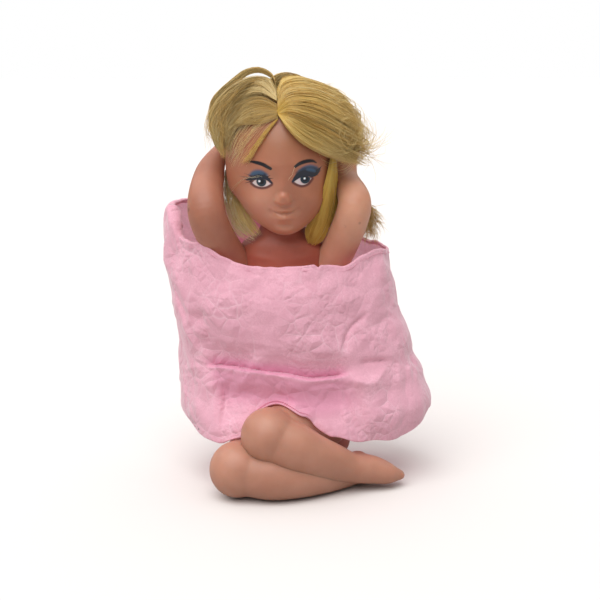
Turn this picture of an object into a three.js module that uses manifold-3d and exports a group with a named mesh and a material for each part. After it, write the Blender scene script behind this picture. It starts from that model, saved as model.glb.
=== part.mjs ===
// A seated doll of hollow cast vinyl with rooted hair, wound in one sheet of crumpled pink paper.
// Millimetres, +Z up. The doll faces -Y, its own left side is +X, and it sits on the floor z = 0.
import * as THREE from 'three';
import { mergeVertices } from 'three/addons/utils/BufferGeometryUtils.js';
import Module from 'manifold-3d';

const wasm = await Module();
wasm.setup();

// Walls and clearances
const SKIN = 1.8; // wall of every cast shell
const JOINT_GAP = 0.3; // running clearance at plugs, seats and between crossed limbs
const HAIR_GAP = 0.3; // clearance of each lock from the scalp and from the lock under it
const SWEEP_GAP = 0.5; // clearance of the hair from what it passes when a joint moves
const PAPER_GAP = 0.35; // clearance of the paper from the legs under it
const PAPER_THICKNESS = 0.9; // stiffened body of the crumpled sheet
const WELD = 0.012; // corners of a cut nearer than this are one corner

// Movement that the hair has to clear, in degrees
const HEAD_TURN = 10; // each way
const ARM_SWING = 18; // backward only

// Torso: half sizes of its cross sections and where each one lies
const SEAT_HALF_WIDTH = 9;
const SEAT_HALF_DEPTH = 8;
const PELVIS_X = 1;
const PELVIS_Y = 8;
const PELVIS_HEIGHT = 13;
const PELVIS_HALF_WIDTH = 15.5;
const PELVIS_HALF_DEPTH = 13.5;
const WAIST_X = -1.8;
const WAIST_Y = 6;
const WAIST_RISE = 23; // above the pelvis
const WAIST_HALF_WIDTH = 11.5;
const WAIST_HALF_DEPTH = 9.5;
const CHEST_X = -5;
const CHEST_Y = 4;
const CHEST_RISE = 21; // above the waist
const CHEST_HALF_WIDTH = 14;
const CHEST_HALF_DEPTH = 11;
const SHOULDER_RISE = 12.5; // above the chest
const SHOULDER_HALF_WIDTH = 14.5;
const SHOULDER_HALF_DEPTH = 9.2;
const NECK_X = -5.5;
const NECK_Y = 4;
const NECK_RADIUS = 6.8;
const NECK_BASE_RISE = 6.5; // above the shoulders
const NECK_LENGTH = 6.2; // from its base to the seat of the head
const HEAD_FLOOR = 2.3; // thickness of the head round its neck opening
const STEM_RADIUS = 4.4;
const KNOB_RADIUS = 5.8;
const KNOB_HEIGHT = 2.8;
const NECK_BORE_RADIUS = 2.8;

// Head: half sizes, with its centre above the neck
const HEAD_HALF_WIDTH = 15.5;
const HEAD_HALF_DEPTH = 18;
const HEAD_HALF_HEIGHT = 22;
const HEAD_FORWARD = 3; // centre of the head ahead of the neck
const HEAD_ASIDE = 0.5; // and to the doll's left of it
const HEAD_SINK = 2.2; // how far the neck seat is let into the head
const NOSE_LENGTH = 2.8;
const CHIN_LENGTH = 1.2;
const EYE_HOLLOW = 0.9;

// Arms: plug sizes, then half thicknesses from the shoulder to the hand
const SHOULDER_SEAT_DEPTH = 2.5; // seat of each arm in from the widest part of the shoulders
const ARM_SEAT_DROP = 2.6; // and below it
const ARM_PLUG_RADIUS = 2.6;
const ARM_FLANGE_RADIUS = 3.8;
const FLANGE_THICKNESS = 1.2;
const PLUG_BORE_RADIUS = 1.4;
const ARM_ROOT_RADIUS = 5.8;
const LEFT_ELBOW_RADIUS = 5.1;
const RIGHT_ELBOW_RADIUS = 6.4;
const FOREARM_RADIUS = 4;
const WRIST_RADIUS = 2.9;
const PALM_HALF_WIDTH = 3.8;
const PALM_HALF_THICKNESS = 1.8;
const FINGER_RADIUS = 0.95;
const HAND_LIFT = 5.2; // middle of each hand off the scalp, over the hair
const LEFT_ELBOW = [9.7, -7.5, 22.5]; // from the arm's seat: outward, back, up
const RIGHT_ELBOW = [10.8, -11, 20];

// Legs
const HIP_SEAT_DEPTH = 5.9; // seat of each leg in from the front of the pelvis
const HIP_SPACING = 14.8;
const LEFT_HIP_HEIGHT = 16.6;
const RIGHT_HIP_HEIGHT = 13;
const LEG_PLUG_RADIUS = 2.2;
const LEG_FLANGE_RADIUS = 3.2;
const THIGH_ROOT_RADIUS = 7.2;
const THIGH_RADIUS = 8.2;
const KNEE_RADIUS = 8.9;
const CALF_RADIUS = 7.3;
const ANKLE_RADIUS = 4.8;
const HEEL_RADIUS = 4;
const LEFT_KNEE = [-9.5, -23, 20]; // raised over the other leg
const LEFT_ANKLE = [16.3, -17.2, 7.6];
const LEFT_TOE = [31.4, -12.8, 3.8];
const RIGHT_KNEE_X = -19.3;
const RIGHT_KNEE_Y = -23;
const RIGHT_ANKLE = [14, -14.5];
const RIGHT_TOE = [26, -4];

// Paper wrap: how far it reaches each way at five heights
const WRAP_RIM = { z: 76, left: -42.5, right: 30.5, front: -14, back: 27 };
const WRAP_CHEST = { z: 58, left: -41.5, right: 31, front: -18, back: 29 };
const WRAP_CREASE = { z: 41, left: -39.5, right: 36.5, front: -16, back: 31 };
const WRAP_LAP = { z: 29, left: -39.5, right: 42.6, front: -22.5, back: 31.7 };
const WRAP_HEM = { z: 14, left: -35, right: 39, front: -20.5, back: 29 };
const WRAP_FOLD_DEPTH = 1; // soft upright folds
const WRAP_DENT_DEPTH = 2.4; // the two long creases
const RIM_HEIGHTS = [[0, 77], [30, 75.5], [90, 82], [140, 88.5], [180, 85], [212, 77], [245, 72], [300, 70.5], [330, 72.5]];
const HEM_HEIGHTS = [[0, 22], [30, 16], [90, 11], [140, 13], [180, 20], [214, 14], [236, 18.5], [258, 31], [282, 24.5], [300, 17.5], [330, 13]];
const WRAP_AROUND = 44;
const WRAP_ROWS = 12;

// Colours
const vinyl = new THREE.MeshStandardMaterial({ color: '#c18d76', roughness: 0.55, metalness: 0 });
const fibre = new THREE.MeshStandardMaterial({ color: '#9c7a45', roughness: 0.45, metalness: 0 });
const paper = new THREE.MeshStandardMaterial({ color: '#dba3b1', roughness: 0.9, metalness: 0 });

const vec = (x, y, z) => new THREE.Vector3(x, y, z);
const X_AXIS = vec(1, 0, 0);
const Y_AXIS = vec(0, 1, 0);
const Z_AXIS = vec(0, 0, 1);
const degrees = THREE.MathUtils.degToRad;

// Solids from geometry, and geometry from solids

function solid(geometry) {
  const bare = geometry.clone();
  bare.deleteAttribute('normal');
  bare.deleteAttribute('uv');
  const welded = mergeVertices(bare, 1e-4);
  return new wasm.Manifold(new wasm.Mesh({
    numProp: 3,
    vertProperties: new Float32Array(welded.attributes.position.array),
    triVerts: new Uint32Array(welded.index.array),
  }));
}

function shape(manifold) {
  const mesh = manifold.getMesh();
  const geometry = new THREE.BufferGeometry();
  geometry.setAttribute('position', new THREE.BufferAttribute(new Float32Array(mesh.vertProperties), 3));
  geometry.setIndex(new THREE.BufferAttribute(new Uint32Array(mesh.triVerts), 1));
  return geometry;
}

const join = (...solids) => solids.reduce((sum, next) => sum.add(next));
const cut = (body, ...tools) => tools.reduce((rest, tool) => rest.subtract(tool), body);

// The largest of the pieces that a cut has left.
function largest(manifold) {
  const pieces = manifold.decompose();
  return pieces.reduce((best, piece) => (piece.volume() > best.volume() ? piece : best));
}

function turned(manifold, axis, angle, centre) {
  const geometry = shape(manifold);
  geometry.translate(-centre.x, -centre.y, -centre.z);
  geometry.applyMatrix4(new THREE.Matrix4().makeRotationAxis(axis, degrees(angle)));
  geometry.translate(centre.x, centre.y, centre.z);
  return solid(geometry);
}

// A cylinder from one point to another.
function rod(start, end, radius, sides = 16) {
  const along = end.clone().sub(start);
  const geometry = new THREE.CylinderGeometry(radius, radius, along.length(), sides);
  geometry.applyQuaternion(new THREE.Quaternion().setFromUnitVectors(Y_AXIS, along.clone().normalize()));
  const middle = start.clone().add(end).multiplyScalar(0.5);
  geometry.translate(middle.x, middle.y, middle.z);
  return solid(geometry);
}

function ball(centre, radius, sides = 12) {
  const geometry = new THREE.SphereGeometry(radius, sides, Math.round(sides * 0.6));
  geometry.translate(centre.x, centre.y, centre.z);
  return solid(geometry);
}

// Everything on one side of a plane, inside a block that is larger than the doll.
function block(minimum, maximum) {
  const size = maximum.clone().sub(minimum);
  const geometry = new THREE.BoxGeometry(size.x, size.y, size.z);
  const middle = minimum.clone().add(maximum).multiplyScalar(0.5);
  geometry.translate(middle.x, middle.y, middle.z);
  return solid(geometry);
}
const FAR = 200;

// A closed body from rings of equal length, with a flat fan on each end.
function skinned(rings) {
  const sides = rings[0].length;
  const points = rings.flat();
  const middle = (ring) => ring.reduce((sum, p) => sum.add(p), vec(0, 0, 0)).multiplyScalar(1 / sides);
  points.push(middle(rings[0]), middle(rings[rings.length - 1]));
  const index = [];
  for (let row = 0; row < rings.length - 1; row++) {
    for (let k = 0; k < sides; k++) {
      const a = row * sides + k;
      const b = row * sides + ((k + 1) % sides);
      index.push(a, b, b + sides, a, b + sides, a + sides);
    }
  }
  const last = (rings.length - 1) * sides;
  for (let k = 0; k < sides; k++) {
    const next = (k + 1) % sides;
    index.push(points.length - 2, next, k);
    index.push(points.length - 1, last + k, last + next);
  }
  const geometry = new THREE.BufferGeometry();
  geometry.setAttribute('position', new THREE.Float32BufferAttribute(points.flatMap((p) => [p.x, p.y, p.z]), 3));
  geometry.setIndex(index);
  return geometry;
}

// A limb or a lock: an oval swept along a smooth line through its stations. Each station is a place with a
// half width and a half thickness, and the thickness lies along the direction that facing(place) gives.
function swept(stations, facing, { sides = 10, steps = 3, grow = 0 } = {}) {
  const line = new THREE.CatmullRomCurve3(stations.map((s) => s.at));
  const size = new THREE.CatmullRomCurve3(stations.map((s) => vec(s.width, s.thick ?? s.width, 0)));
  const rows = (stations.length - 1) * steps;
  const rings = [];
  for (let row = 0; row <= rows; row++) {
    const at = line.getPoint(row / rows);
    const along = line.getTangent(row / rows);
    const half = size.getPoint(row / rows);
    const across = along.clone().cross(facing(at)).normalize();
    const out = across.clone().cross(along).normalize();
    const ring = [];
    for (let k = 0; k < sides; k++) {
      const turn = (2 * Math.PI * k) / sides;
      ring.push(at.clone()
        .addScaledVector(across, (half.x + grow) * Math.cos(turn))
        .addScaledVector(out, -(half.y + grow) * Math.sin(turn)));
    }
    rings.push(ring);
  }
  return outward(skinned(rings));
}

// A solid whose faces look out, whichever way its rings were wound.
function outward(geometry) {
  const place = geometry.attributes.position;
  const index = geometry.index.array;
  let volume = 0;
  const [a, b, c] = [vec(0, 0, 0), vec(0, 0, 0), vec(0, 0, 0)];
  for (let k = 0; k < index.length; k += 3) {
    a.fromBufferAttribute(place, index[k]);
    b.fromBufferAttribute(place, index[k + 1]);
    c.fromBufferAttribute(place, index[k + 2]);
    volume += a.dot(b.clone().cross(c));
  }
  if (volume < 0) {
    for (let k = 0; k < index.length; k += 3) {
      [index[k + 1], index[k + 2]] = [index[k + 2], index[k + 1]];
    }
  }
  return solid(geometry);
}

// Torso

const WAIST_HEIGHT = PELVIS_HEIGHT + WAIST_RISE;
const CHEST_HEIGHT = WAIST_HEIGHT + CHEST_RISE;
const SHOULDER_HEIGHT = CHEST_HEIGHT + SHOULDER_RISE;
const NECK_BASE_HEIGHT = SHOULDER_HEIGHT + NECK_BASE_RISE;
const HEAD_SEAT_HEIGHT = NECK_BASE_HEIGHT + NECK_LENGTH;
const neckAxis = (z) => vec(NECK_X, NECK_Y, z);

// Ovals stacked up the body, with a smooth line through their places and half sizes.
function stacked(sections, grow, sides, steps) {
  const places = new THREE.CatmullRomCurve3(sections.map((s) => vec(s.x, s.y, s.z)), false, 'catmullrom', 0.5);
  const sizes = new THREE.CatmullRomCurve3(sections.map((s) => vec(s.width, s.depth, 0)), false, 'catmullrom', 0.5);
  const rows = (sections.length - 1) * steps;
  const rings = [];
  for (let row = 0; row <= rows; row++) {
    const at = places.getPoint(row / rows);
    const half = sizes.getPoint(row / rows);
    const ring = [];
    for (let k = 0; k < sides; k++) {
      const turn = (2 * Math.PI * k) / sides;
      ring.push(vec(at.x + (half.x + grow) * Math.cos(turn), at.y + (half.y + grow) * Math.sin(turn), at.z));
    }
    rings.push(ring);
  }
  return outward(skinned(rings));
}

const torsoSections = [
  { x: PELVIS_X, y: PELVIS_Y, z: 0, width: SEAT_HALF_WIDTH, depth: SEAT_HALF_DEPTH },
  { x: PELVIS_X, y: PELVIS_Y, z: PELVIS_HEIGHT / 3, width: PELVIS_HALF_WIDTH - 1.6, depth: PELVIS_HALF_DEPTH - 1.4 },
  { x: PELVIS_X, y: PELVIS_Y, z: PELVIS_HEIGHT, width: PELVIS_HALF_WIDTH, depth: PELVIS_HALF_DEPTH },
  { x: WAIST_X, y: WAIST_Y, z: WAIST_HEIGHT, width: WAIST_HALF_WIDTH, depth: WAIST_HALF_DEPTH },
  { x: CHEST_X, y: CHEST_Y, z: CHEST_HEIGHT, width: CHEST_HALF_WIDTH, depth: CHEST_HALF_DEPTH },
  { x: NECK_X, y: NECK_Y, z: SHOULDER_HEIGHT, width: SHOULDER_HALF_WIDTH, depth: SHOULDER_HALF_DEPTH },
  { x: NECK_X, y: NECK_Y, z: NECK_BASE_HEIGHT, width: NECK_RADIUS + 1.6, depth: NECK_RADIUS + 0.8 },
  { x: NECK_X, y: NECK_Y, z: (NECK_BASE_HEIGHT + HEAD_SEAT_HEIGHT) / 2, width: NECK_RADIUS + 0.2, depth: NECK_RADIUS },
  { x: NECK_X, y: NECK_Y, z: HEAD_SEAT_HEIGHT, width: NECK_RADIUS, depth: NECK_RADIUS },
];

// The hollow follows the outside, a skin in from it, and stops a skin short of each end.
const hollowSections = torsoSections.slice(0, -2).map((s, k) => ({
  ...s,
  z: k === 0 ? SKIN : s.z,
  width: s.width - SKIN,
  depth: s.depth - SKIN,
}));

const armSeat = (side) => vec(NECK_X + side * (SHOULDER_HALF_WIDTH - SHOULDER_SEAT_DEPTH), NECK_Y - 1, SHOULDER_HEIGHT - ARM_SEAT_DROP);
const hipSeat = (side) => vec(
  PELVIS_X + (side * HIP_SPACING) / 2,
  PELVIS_Y - PELVIS_HALF_DEPTH + HIP_SEAT_DEPTH,
  side > 0 ? LEFT_HIP_HEIGHT : RIGHT_HIP_HEIGHT,
);
const armOut = (side) => vec(side, 0, 0);
const hipOut = vec(0, -1, 0);
const from = (place, direction, length) => place.clone().addScaledVector(direction, length);

// The four plugs: where each sits, which way the limb leaves the body, and its sizes.
const plugs = [-1, 1].flatMap((side) => [
  { seat: armSeat(side), out: armOut(side), root: ARM_ROOT_RADIUS, stem: ARM_PLUG_RADIUS, flange: ARM_FLANGE_RADIUS },
  { seat: hipSeat(side), out: hipOut, root: THIGH_ROOT_RADIUS, stem: LEG_PLUG_RADIUS, flange: LEG_FLANGE_RADIUS },
]);
const [rightArmPlug, rightLegPlug, leftArmPlug, leftLegPlug] = plugs;

function torsoShell() {
  const outside = stacked(torsoSections, 0, 24, 2);
  const faced = plugs.map((p) => rod(p.seat, from(p.seat, p.out, FAR / 4), p.root + JOINT_GAP));
  const kept = plugs.map((p) => rod(from(p.seat, p.out, -SKIN), from(p.seat, p.out, FAR / 4), p.root + JOINT_GAP + SKIN));
  const holes = plugs.map((p) => rod(from(p.seat, p.out, 1), from(p.seat, p.out, -SKIN - 1), p.stem + JOINT_GAP));
  const hollow = cut(stacked(hollowSections, 0, 20, 2), ...kept);
  const knobBottom = HEAD_SEAT_HEIGHT + HEAD_FLOOR + 2 * JOINT_GAP;
  const stem = rod(neckAxis(HEAD_SEAT_HEIGHT - 1), neckAxis(knobBottom + 1), STEM_RADIUS);
  const knob = rod(neckAxis(knobBottom), neckAxis(knobBottom + KNOB_HEIGHT), KNOB_RADIUS);
  const bore = rod(neckAxis(SHOULDER_HEIGHT), neckAxis(knobBottom + KNOB_HEIGHT + 1), NECK_BORE_RADIUS);
  return cut(join(outside, stem, knob), ...faced, hollow, ...holes, bore);
}

// The torso as one lump grown by the running clearance, open where the limbs' roots sit, for trimming them.
function torsoLump() {
  const roots = plugs.map((p) => rod(p.seat, from(p.seat, p.out, FAR / 4), p.root));
  return cut(stacked(torsoSections, JOINT_GAP, 24, 2), ...roots);
}

// Stem and flange of a limb's plug, with the bore that opens the hollow limb to the inside of the torso.
function plugOf(plug) {
  const stem = rod(from(plug.seat, plug.out, JOINT_GAP + SKIN), from(plug.seat, plug.out, -SKIN - JOINT_GAP - 0.5), plug.stem);
  const inner = from(plug.seat, plug.out, -SKIN - JOINT_GAP);
  return join(stem, rod(inner, from(inner, plug.out, -FLANGE_THICKNESS), plug.flange));
}

function plugBore(plug) {
  return rod(from(plug.seat, plug.out, 2 * SKIN), from(plug.seat, plug.out, -SKIN - JOINT_GAP - 2 * FLANGE_THICKNESS), PLUG_BORE_RADIUS);
}

// Head

const headCentre = vec(NECK_X + HEAD_ASIDE, NECK_Y - HEAD_FORWARD, HEAD_SEAT_HEIGHT - HEAD_SINK + HEAD_HALF_HEIGHT);

// A unit direction from the head's centre: azimuth from the face toward the doll's left, then elevation.
function direction(azimuth, elevation) {
  const flat = Math.cos(degrees(elevation));
  return vec(Math.sin(degrees(azimuth)) * flat, -Math.cos(degrees(azimuth)) * flat, Math.sin(degrees(elevation)));
}

const headHalf = vec(HEAD_HALF_WIDTH, HEAD_HALF_DEPTH, HEAD_HALF_HEIGHT);
const awayFromHead = (place) => place.clone().sub(headCentre).divide(headHalf).divide(headHalf).normalize();

// A place over the scalp: its direction, and how far it stands off.
function scalp(azimuth, elevation, lift) {
  const place = direction(azimuth, elevation).multiply(headHalf).add(headCentre);
  return place.addScaledVector(awayFromHead(place), lift);
}

// A place off the side or the foot of the head, from its centre.
const beside = (x, y, z) => headCentre.clone().add(vec(x, y, z));

// Relief of the face at a unit direction: each feature is a rounded rise or hollow of its own height.
function relief(d) {
  const rise = (azimuth, elevation, wide, high, height) => {
    const across = d.x - Math.sin(degrees(azimuth));
    const up = d.z - Math.sin(degrees(elevation));
    return d.y < 0 ? height * Math.exp(-((across / wide) ** 2) - (up / high) ** 2) : 0;
  };
  return rise(0, -27, 0.13, 0.13, NOSE_LENGTH)
    + rise(0, -62, 0.3, 0.12, CHIN_LENGTH)
    - rise(-25, -10, 0.22, 0.11, EYE_HOLLOW)
    - rise(25, -10, 0.22, 0.11, EYE_HOLLOW);
}

function headShell() {
  const rings = [];
  const rows = 18;
  const sides = 28;
  for (let row = 1; row < rows; row++) {
    const ring = [];
    for (let k = 0; k < sides; k++) {
      const d = direction((360 * k) / sides, -90 + (180 * row) / rows);
      const place = d.clone().multiply(headHalf).add(headCentre);
      ring.push(place.addScaledVector(awayFromHead(place), relief(d)));
    }
    rings.push(ring);
  }
  const outside = outward(skinned(rings));
  const inside = new THREE.SphereGeometry(1, 20, 12);
  inside.scale(HEAD_HALF_WIDTH - SKIN, HEAD_HALF_DEPTH - SKIN, HEAD_HALF_HEIGHT - SKIN);
  inside.translate(headCentre.x, headCentre.y, headCentre.z);
  const floor = HEAD_SEAT_HEIGHT + JOINT_GAP + HEAD_FLOOR;
  const knobRoom = rod(neckAxis(0), neckAxis(floor + KNOB_HEIGHT + 4 * JOINT_GAP), KNOB_RADIUS + 2 * JOINT_GAP);
  const hollow = cut(join(solid(inside), knobRoom), block(vec(-FAR, -FAR, -FAR), vec(FAR, FAR, floor)));
  const seat = rod(neckAxis(0), neckAxis(HEAD_SEAT_HEIGHT + JOINT_GAP), NECK_RADIUS + JOINT_GAP);
  const opening = rod(neckAxis(0), neckAxis(floor + 1), STEM_RADIUS + JOINT_GAP);
  return cut(outside, hollow, seat, opening, stacked(torsoSections, JOINT_GAP, 24, 2));
}

// The whole head as one simple lump, grown by a clearance, for cutting the hair.
function headLump(gap) {
  const lump = new THREE.SphereGeometry(1, 32, 20);
  lump.scale(HEAD_HALF_WIDTH + gap + 0.1, HEAD_HALF_DEPTH + gap + 0.1, HEAD_HALF_HEIGHT + gap + 0.1);
  lump.translate(headCentre.x, headCentre.y, headCentre.z);
  return solid(lump);
}

// Arms

const limb = (at, width, thick) => ({ at, width, thick });
const inBody = (seat, length) => seat.clone().sub(armOut(Math.sign(seat.x - NECK_X)).multiplyScalar(length));

function armLine(side) {
  const seat = armSeat(side);
  const reach = side > 0 ? LEFT_ELBOW : RIGHT_ELBOW;
  const elbowRadius = side > 0 ? LEFT_ELBOW_RADIUS : RIGHT_ELBOW_RADIUS;
  const elbow = seat.clone().add(vec(side * reach[0], reach[1], reach[2]));
  const upper = seat.clone().lerp(elbow, 0.42).add(vec(side * 1.4, 0.6, -1.6));
  const forearm = side > 0 ? scalp(98, -12, FOREARM_RADIUS + 1.2) : scalp(-93, -8, FOREARM_RADIUS + 4.6);
  const wrist = scalp(side * 112, 6, WRIST_RADIUS + 3.2);
  return [
    limb(inBody(seat, 3), ARM_ROOT_RADIUS - 0.3),
    limb(seat, ARM_ROOT_RADIUS - 0.2),
    limb(upper, (ARM_ROOT_RADIUS + elbowRadius) / 2),
    limb(elbow, elbowRadius),
    limb(forearm, FOREARM_RADIUS),
    limb(wrist, WRIST_RADIUS, WRIST_RADIUS - 0.4),
    limb(scalp(side * 126, 11, HAND_LIFT), PALM_HALF_WIDTH, PALM_HALF_THICKNESS),
    limb(scalp(side * 136, 13, HAND_LIFT), PALM_HALF_WIDTH - 0.6, PALM_HALF_THICKNESS - 0.3),
  ];
}

// Four fingers spread up the back of the head and a thumb ahead of them.
function fingers(side, grow) {
  const tips = [1, 8, 15, 22].map((elevation) => ({
    root: scalp(side * 130, 12 + (elevation - 11.5) * 0.55, HAND_LIFT),
    tip: scalp(side * 153, elevation, HAND_LIFT - 0.9),
  }));
  tips.push({ root: scalp(side * 122, 16, HAND_LIFT), tip: scalp(side * 128, 32, HAND_LIFT - 0.6) });
  return tips.map(({ root, tip }) => swept([
    limb(root, FINGER_RADIUS + 0.3),
    limb(root.clone().lerp(tip, 0.5), FINGER_RADIUS),
    limb(tip, FINGER_RADIUS - 0.25),
  ], awayFromHead, { sides: 6, steps: 2, grow }));
}

function armShell(side, plug) {
  const line = armLine(side);
  const inBodySide = block(
    vec(side > 0 ? -FAR : plug.seat.x - JOINT_GAP, -FAR, -FAR),
    vec(side > 0 ? plug.seat.x + JOINT_GAP : FAR, FAR, FAR),
  );
  const outside = cut(join(swept(line, awayFromHead, { steps: 3 }), ...fingers(side, 0)), inBodySide, torsoLump());
  const inside = cut(
    swept(line.slice(0, 5), awayFromHead, { sides: 8, steps: 2, grow: -SKIN }),
    block(
      vec(side > 0 ? -FAR : plug.seat.x - JOINT_GAP - SKIN, -FAR, -FAR),
      vec(side > 0 ? plug.seat.x + JOINT_GAP + SKIN : FAR, FAR, FAR),
    ),
  );
  return cut(join(outside, plugOf(plug)), inside, plugBore(plug));
}

// An arm without its plug, grown by a clearance.
function armLump(side, gap) {
  return join(swept(armLine(side), awayFromHead, { sides: 8, steps: 2, grow: gap }), ...fingers(side, gap));
}

// Legs

const leftKnee = vec(...LEFT_KNEE);
const rightKnee = vec(RIGHT_KNEE_X, RIGHT_KNEE_Y, KNEE_RADIUS + 0.3);
const upward = () => Z_AXIS;

// The toes are solid, so a hollow stops short of them.
const toHollow = (stations, grow) => (grow < 0 ? stations.slice(0, -1) : stations);

// Thigh, knee and shin of the leg on top, whose heel points up.
function leftLeg(grow, sides = 10) {
  const seat = leftLegPlug.seat;
  const ankle = vec(...LEFT_ANKLE);
  const toe = vec(...LEFT_TOE);
  const thigh = [
    limb(from(seat, hipOut, -4), THIGH_ROOT_RADIUS),
    limb(from(seat, hipOut, 1), THIGH_ROOT_RADIUS),
    limb(seat.clone().lerp(leftKnee, 0.5).add(vec(0, 0, 1.6)), THIGH_RADIUS),
    limb(leftKnee, KNEE_RADIUS - 1.1),
  ];
  const shin = [
    limb(leftKnee, KNEE_RADIUS - 1.3),
    limb(leftKnee.clone().lerp(ankle, 0.24).add(vec(0, -2.2, 0)), CALF_RADIUS + 0.8),
    limb(leftKnee.clone().lerp(ankle, 0.5).add(vec(0, -2, -0.6)), CALF_RADIUS),
    limb(leftKnee.clone().lerp(ankle, 0.78).add(vec(0, -0.8, -0.4)), (CALF_RADIUS + ANKLE_RADIUS) / 2),
    limb(ankle, ANKLE_RADIUS),
    limb(ankle.clone().lerp(toe, 0.4).add(vec(0, 0, 0.4)), ANKLE_RADIUS - 0.2),
    limb(ankle.clone().lerp(toe, 0.78), ANKLE_RADIUS - 0.5, ANKLE_RADIUS - 1.4),
    limb(toe, 2.4, 1.8),
  ];
  const heel = ball(ankle.clone().add(vec(2, 2.8, 0.6)), HEEL_RADIUS + grow);
  return join(
    swept(thigh, upward, { grow, sides, steps: 2 }),
    ball(leftKnee, KNEE_RADIUS + grow),
    swept(toHollow(shin, grow), upward, { grow, sides, steps: 2 }),
    heel,
  );
}

// The leg below lies along the floor, each part of it standing on its own thickness.
function rightLeg(grow, sides = 10) {
  const seat = rightLegPlug.seat;
  const onFloor = (x, y, radius) => vec(x, y, radius + 0.2);
  const along = (share) => RIGHT_ANKLE.map((end, k) => THREE.MathUtils.lerp([RIGHT_KNEE_X, RIGHT_KNEE_Y][k], end, share));
  const calf = CALF_RADIUS - 0.2;
  const ankle = ANKLE_RADIUS - 0.2;
  const thigh = [
    limb(from(seat, hipOut, -4), THIGH_ROOT_RADIUS),
    limb(from(seat, hipOut, 1), THIGH_ROOT_RADIUS),
    limb(seat.clone().lerp(rightKnee, 0.5).add(vec(-1, 0, 0)), THIGH_RADIUS),
    limb(rightKnee, KNEE_RADIUS - 1.1),
  ];
  const shin = [
    limb(rightKnee, KNEE_RADIUS - 1.3),
    limb(onFloor(along(0.3)[0], along(0.3)[1] - 4.6, calf + 0.4), calf + 0.4),
    limb(onFloor(along(0.58)[0], along(0.58)[1] - 5.2, calf - 0.6), calf - 0.6),
    limb(onFloor(along(0.82)[0], along(0.82)[1] - 3, (calf + ankle) / 2 - 0.6), (calf + ankle) / 2 - 0.6),
    limb(onFloor(...RIGHT_ANKLE, ankle), ankle),
    limb(onFloor((RIGHT_ANKLE[0] + RIGHT_TOE[0]) / 2, (RIGHT_ANKLE[1] + RIGHT_TOE[1]) / 2, ankle - 0.2), ankle - 0.2),
    limb(onFloor(...RIGHT_TOE, 2.2), 2.4, 2),
  ];
  return join(
    swept(thigh, upward, { grow, sides, steps: 2 }),
    ball(rightKnee, KNEE_RADIUS + grow),
    swept(toHollow(shin, grow), upward, { grow, sides, steps: 2 }),
  );
}

// A hollow leg, with a nest in it for each leg that crosses over it.
function legShell(build, plug, ...crossing) {
  const bodySide = block(vec(-FAR, plug.seat.y - JOINT_GAP - SKIN, -FAR), vec(FAR, FAR, FAR));
  const behindRoot = block(vec(plug.seat.x - 9, plug.seat.y - JOINT_GAP, -FAR), vec(plug.seat.x + 9, FAR, FAR));
  const outside = cut(build(0), behindRoot, torsoLump(), ...crossing.map((leg) => leg(JOINT_GAP)));
  const inside = cut(build(-SKIN, 8), bodySide, ...crossing.map((leg) => leg(JOINT_GAP + SKIN)));
  return cut(join(largest(outside), plugOf(plug)), largest(inside), plugBore(plug));
}

// Paper wrap

// A value that runs smoothly through given angles and comes round to its start.
function around(pairs, angle) {
  const turn = ((angle % 360) + 360) % 360;
  const next = pairs.findIndex(([at]) => at > turn);
  const [a1, v1] = next === -1 ? [pairs[0][0] + 360, pairs[0][1]] : pairs[next];
  const [a0, v0] = next === -1 ? pairs[pairs.length - 1] : pairs[next - 1];
  const share = (turn - a0) / (a1 - a0);
  return v0 + (v1 - v0) * (0.5 - 0.5 * Math.cos(Math.PI * share));
}

const wrapLevels = [WRAP_HEM, WRAP_LAP, WRAP_CREASE, WRAP_CHEST, WRAP_RIM];

// How far the wrap reaches at a height, eased between the levels above and below it.
function wrapReach(z) {
  const top = wrapLevels.findIndex((level) => level.z > z);
  const upper = top === -1 ? WRAP_RIM : wrapLevels[Math.max(top, 1)];
  const lower = top === -1 ? WRAP_CHEST : wrapLevels[Math.max(top, 1) - 1];
  const share = THREE.MathUtils.clamp((z - lower.z) / (upper.z - lower.z), 0, 1);
  const eased = 0.5 - 0.5 * Math.cos(Math.PI * share);
  const mix = (key) => lower[key] + (upper[key] - lower[key]) * eased;
  return { left: mix('left'), right: mix('right'), front: mix('front'), back: mix('back') };
}

// One place on the sheet. The reach sets an oval, upright folds ripple it, and two long creases dent it:
// one slanting across the doll's left of the chest and one upright on its right.
function wrapPlace(angle, share, inset) {
  const z = THREE.MathUtils.lerp(around(HEM_HEIGHTS, angle), around(RIM_HEIGHTS, angle), share);
  const reach = wrapReach(z);
  const turn = degrees(angle);
  const middle = NECK_Y + 1;
  const halfWidth = (reach.right - reach.left) / 2;
  const halfDepth = Math.sin(turn) < 0 ? middle - reach.front : reach.back - middle;
  const folds = WRAP_FOLD_DEPTH * Math.sin(7 * turn + z / 9) * Math.sin(Math.PI * Math.min(1, share * 1.2));
  const dent = (at, slope, height, wide, tall) => WRAP_DENT_DEPTH
    * Math.exp(-(((angle - at - slope * (z - height)) / wide) ** 2) - ((z - height) / tall) ** 2);
  const off = folds - dent(312, 1.1, 52, 9, 12) - dent(206, 0, 60, 8, 18) - inset;
  const normal = vec(Math.cos(turn) / halfWidth, Math.sin(turn) / halfDepth, 0).normalize();
  return vec(
    (reach.left + reach.right) / 2 + halfWidth * Math.cos(turn),
    middle + halfDepth * Math.sin(turn),
    z,
  ).addScaledVector(normal, off);
}

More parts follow.
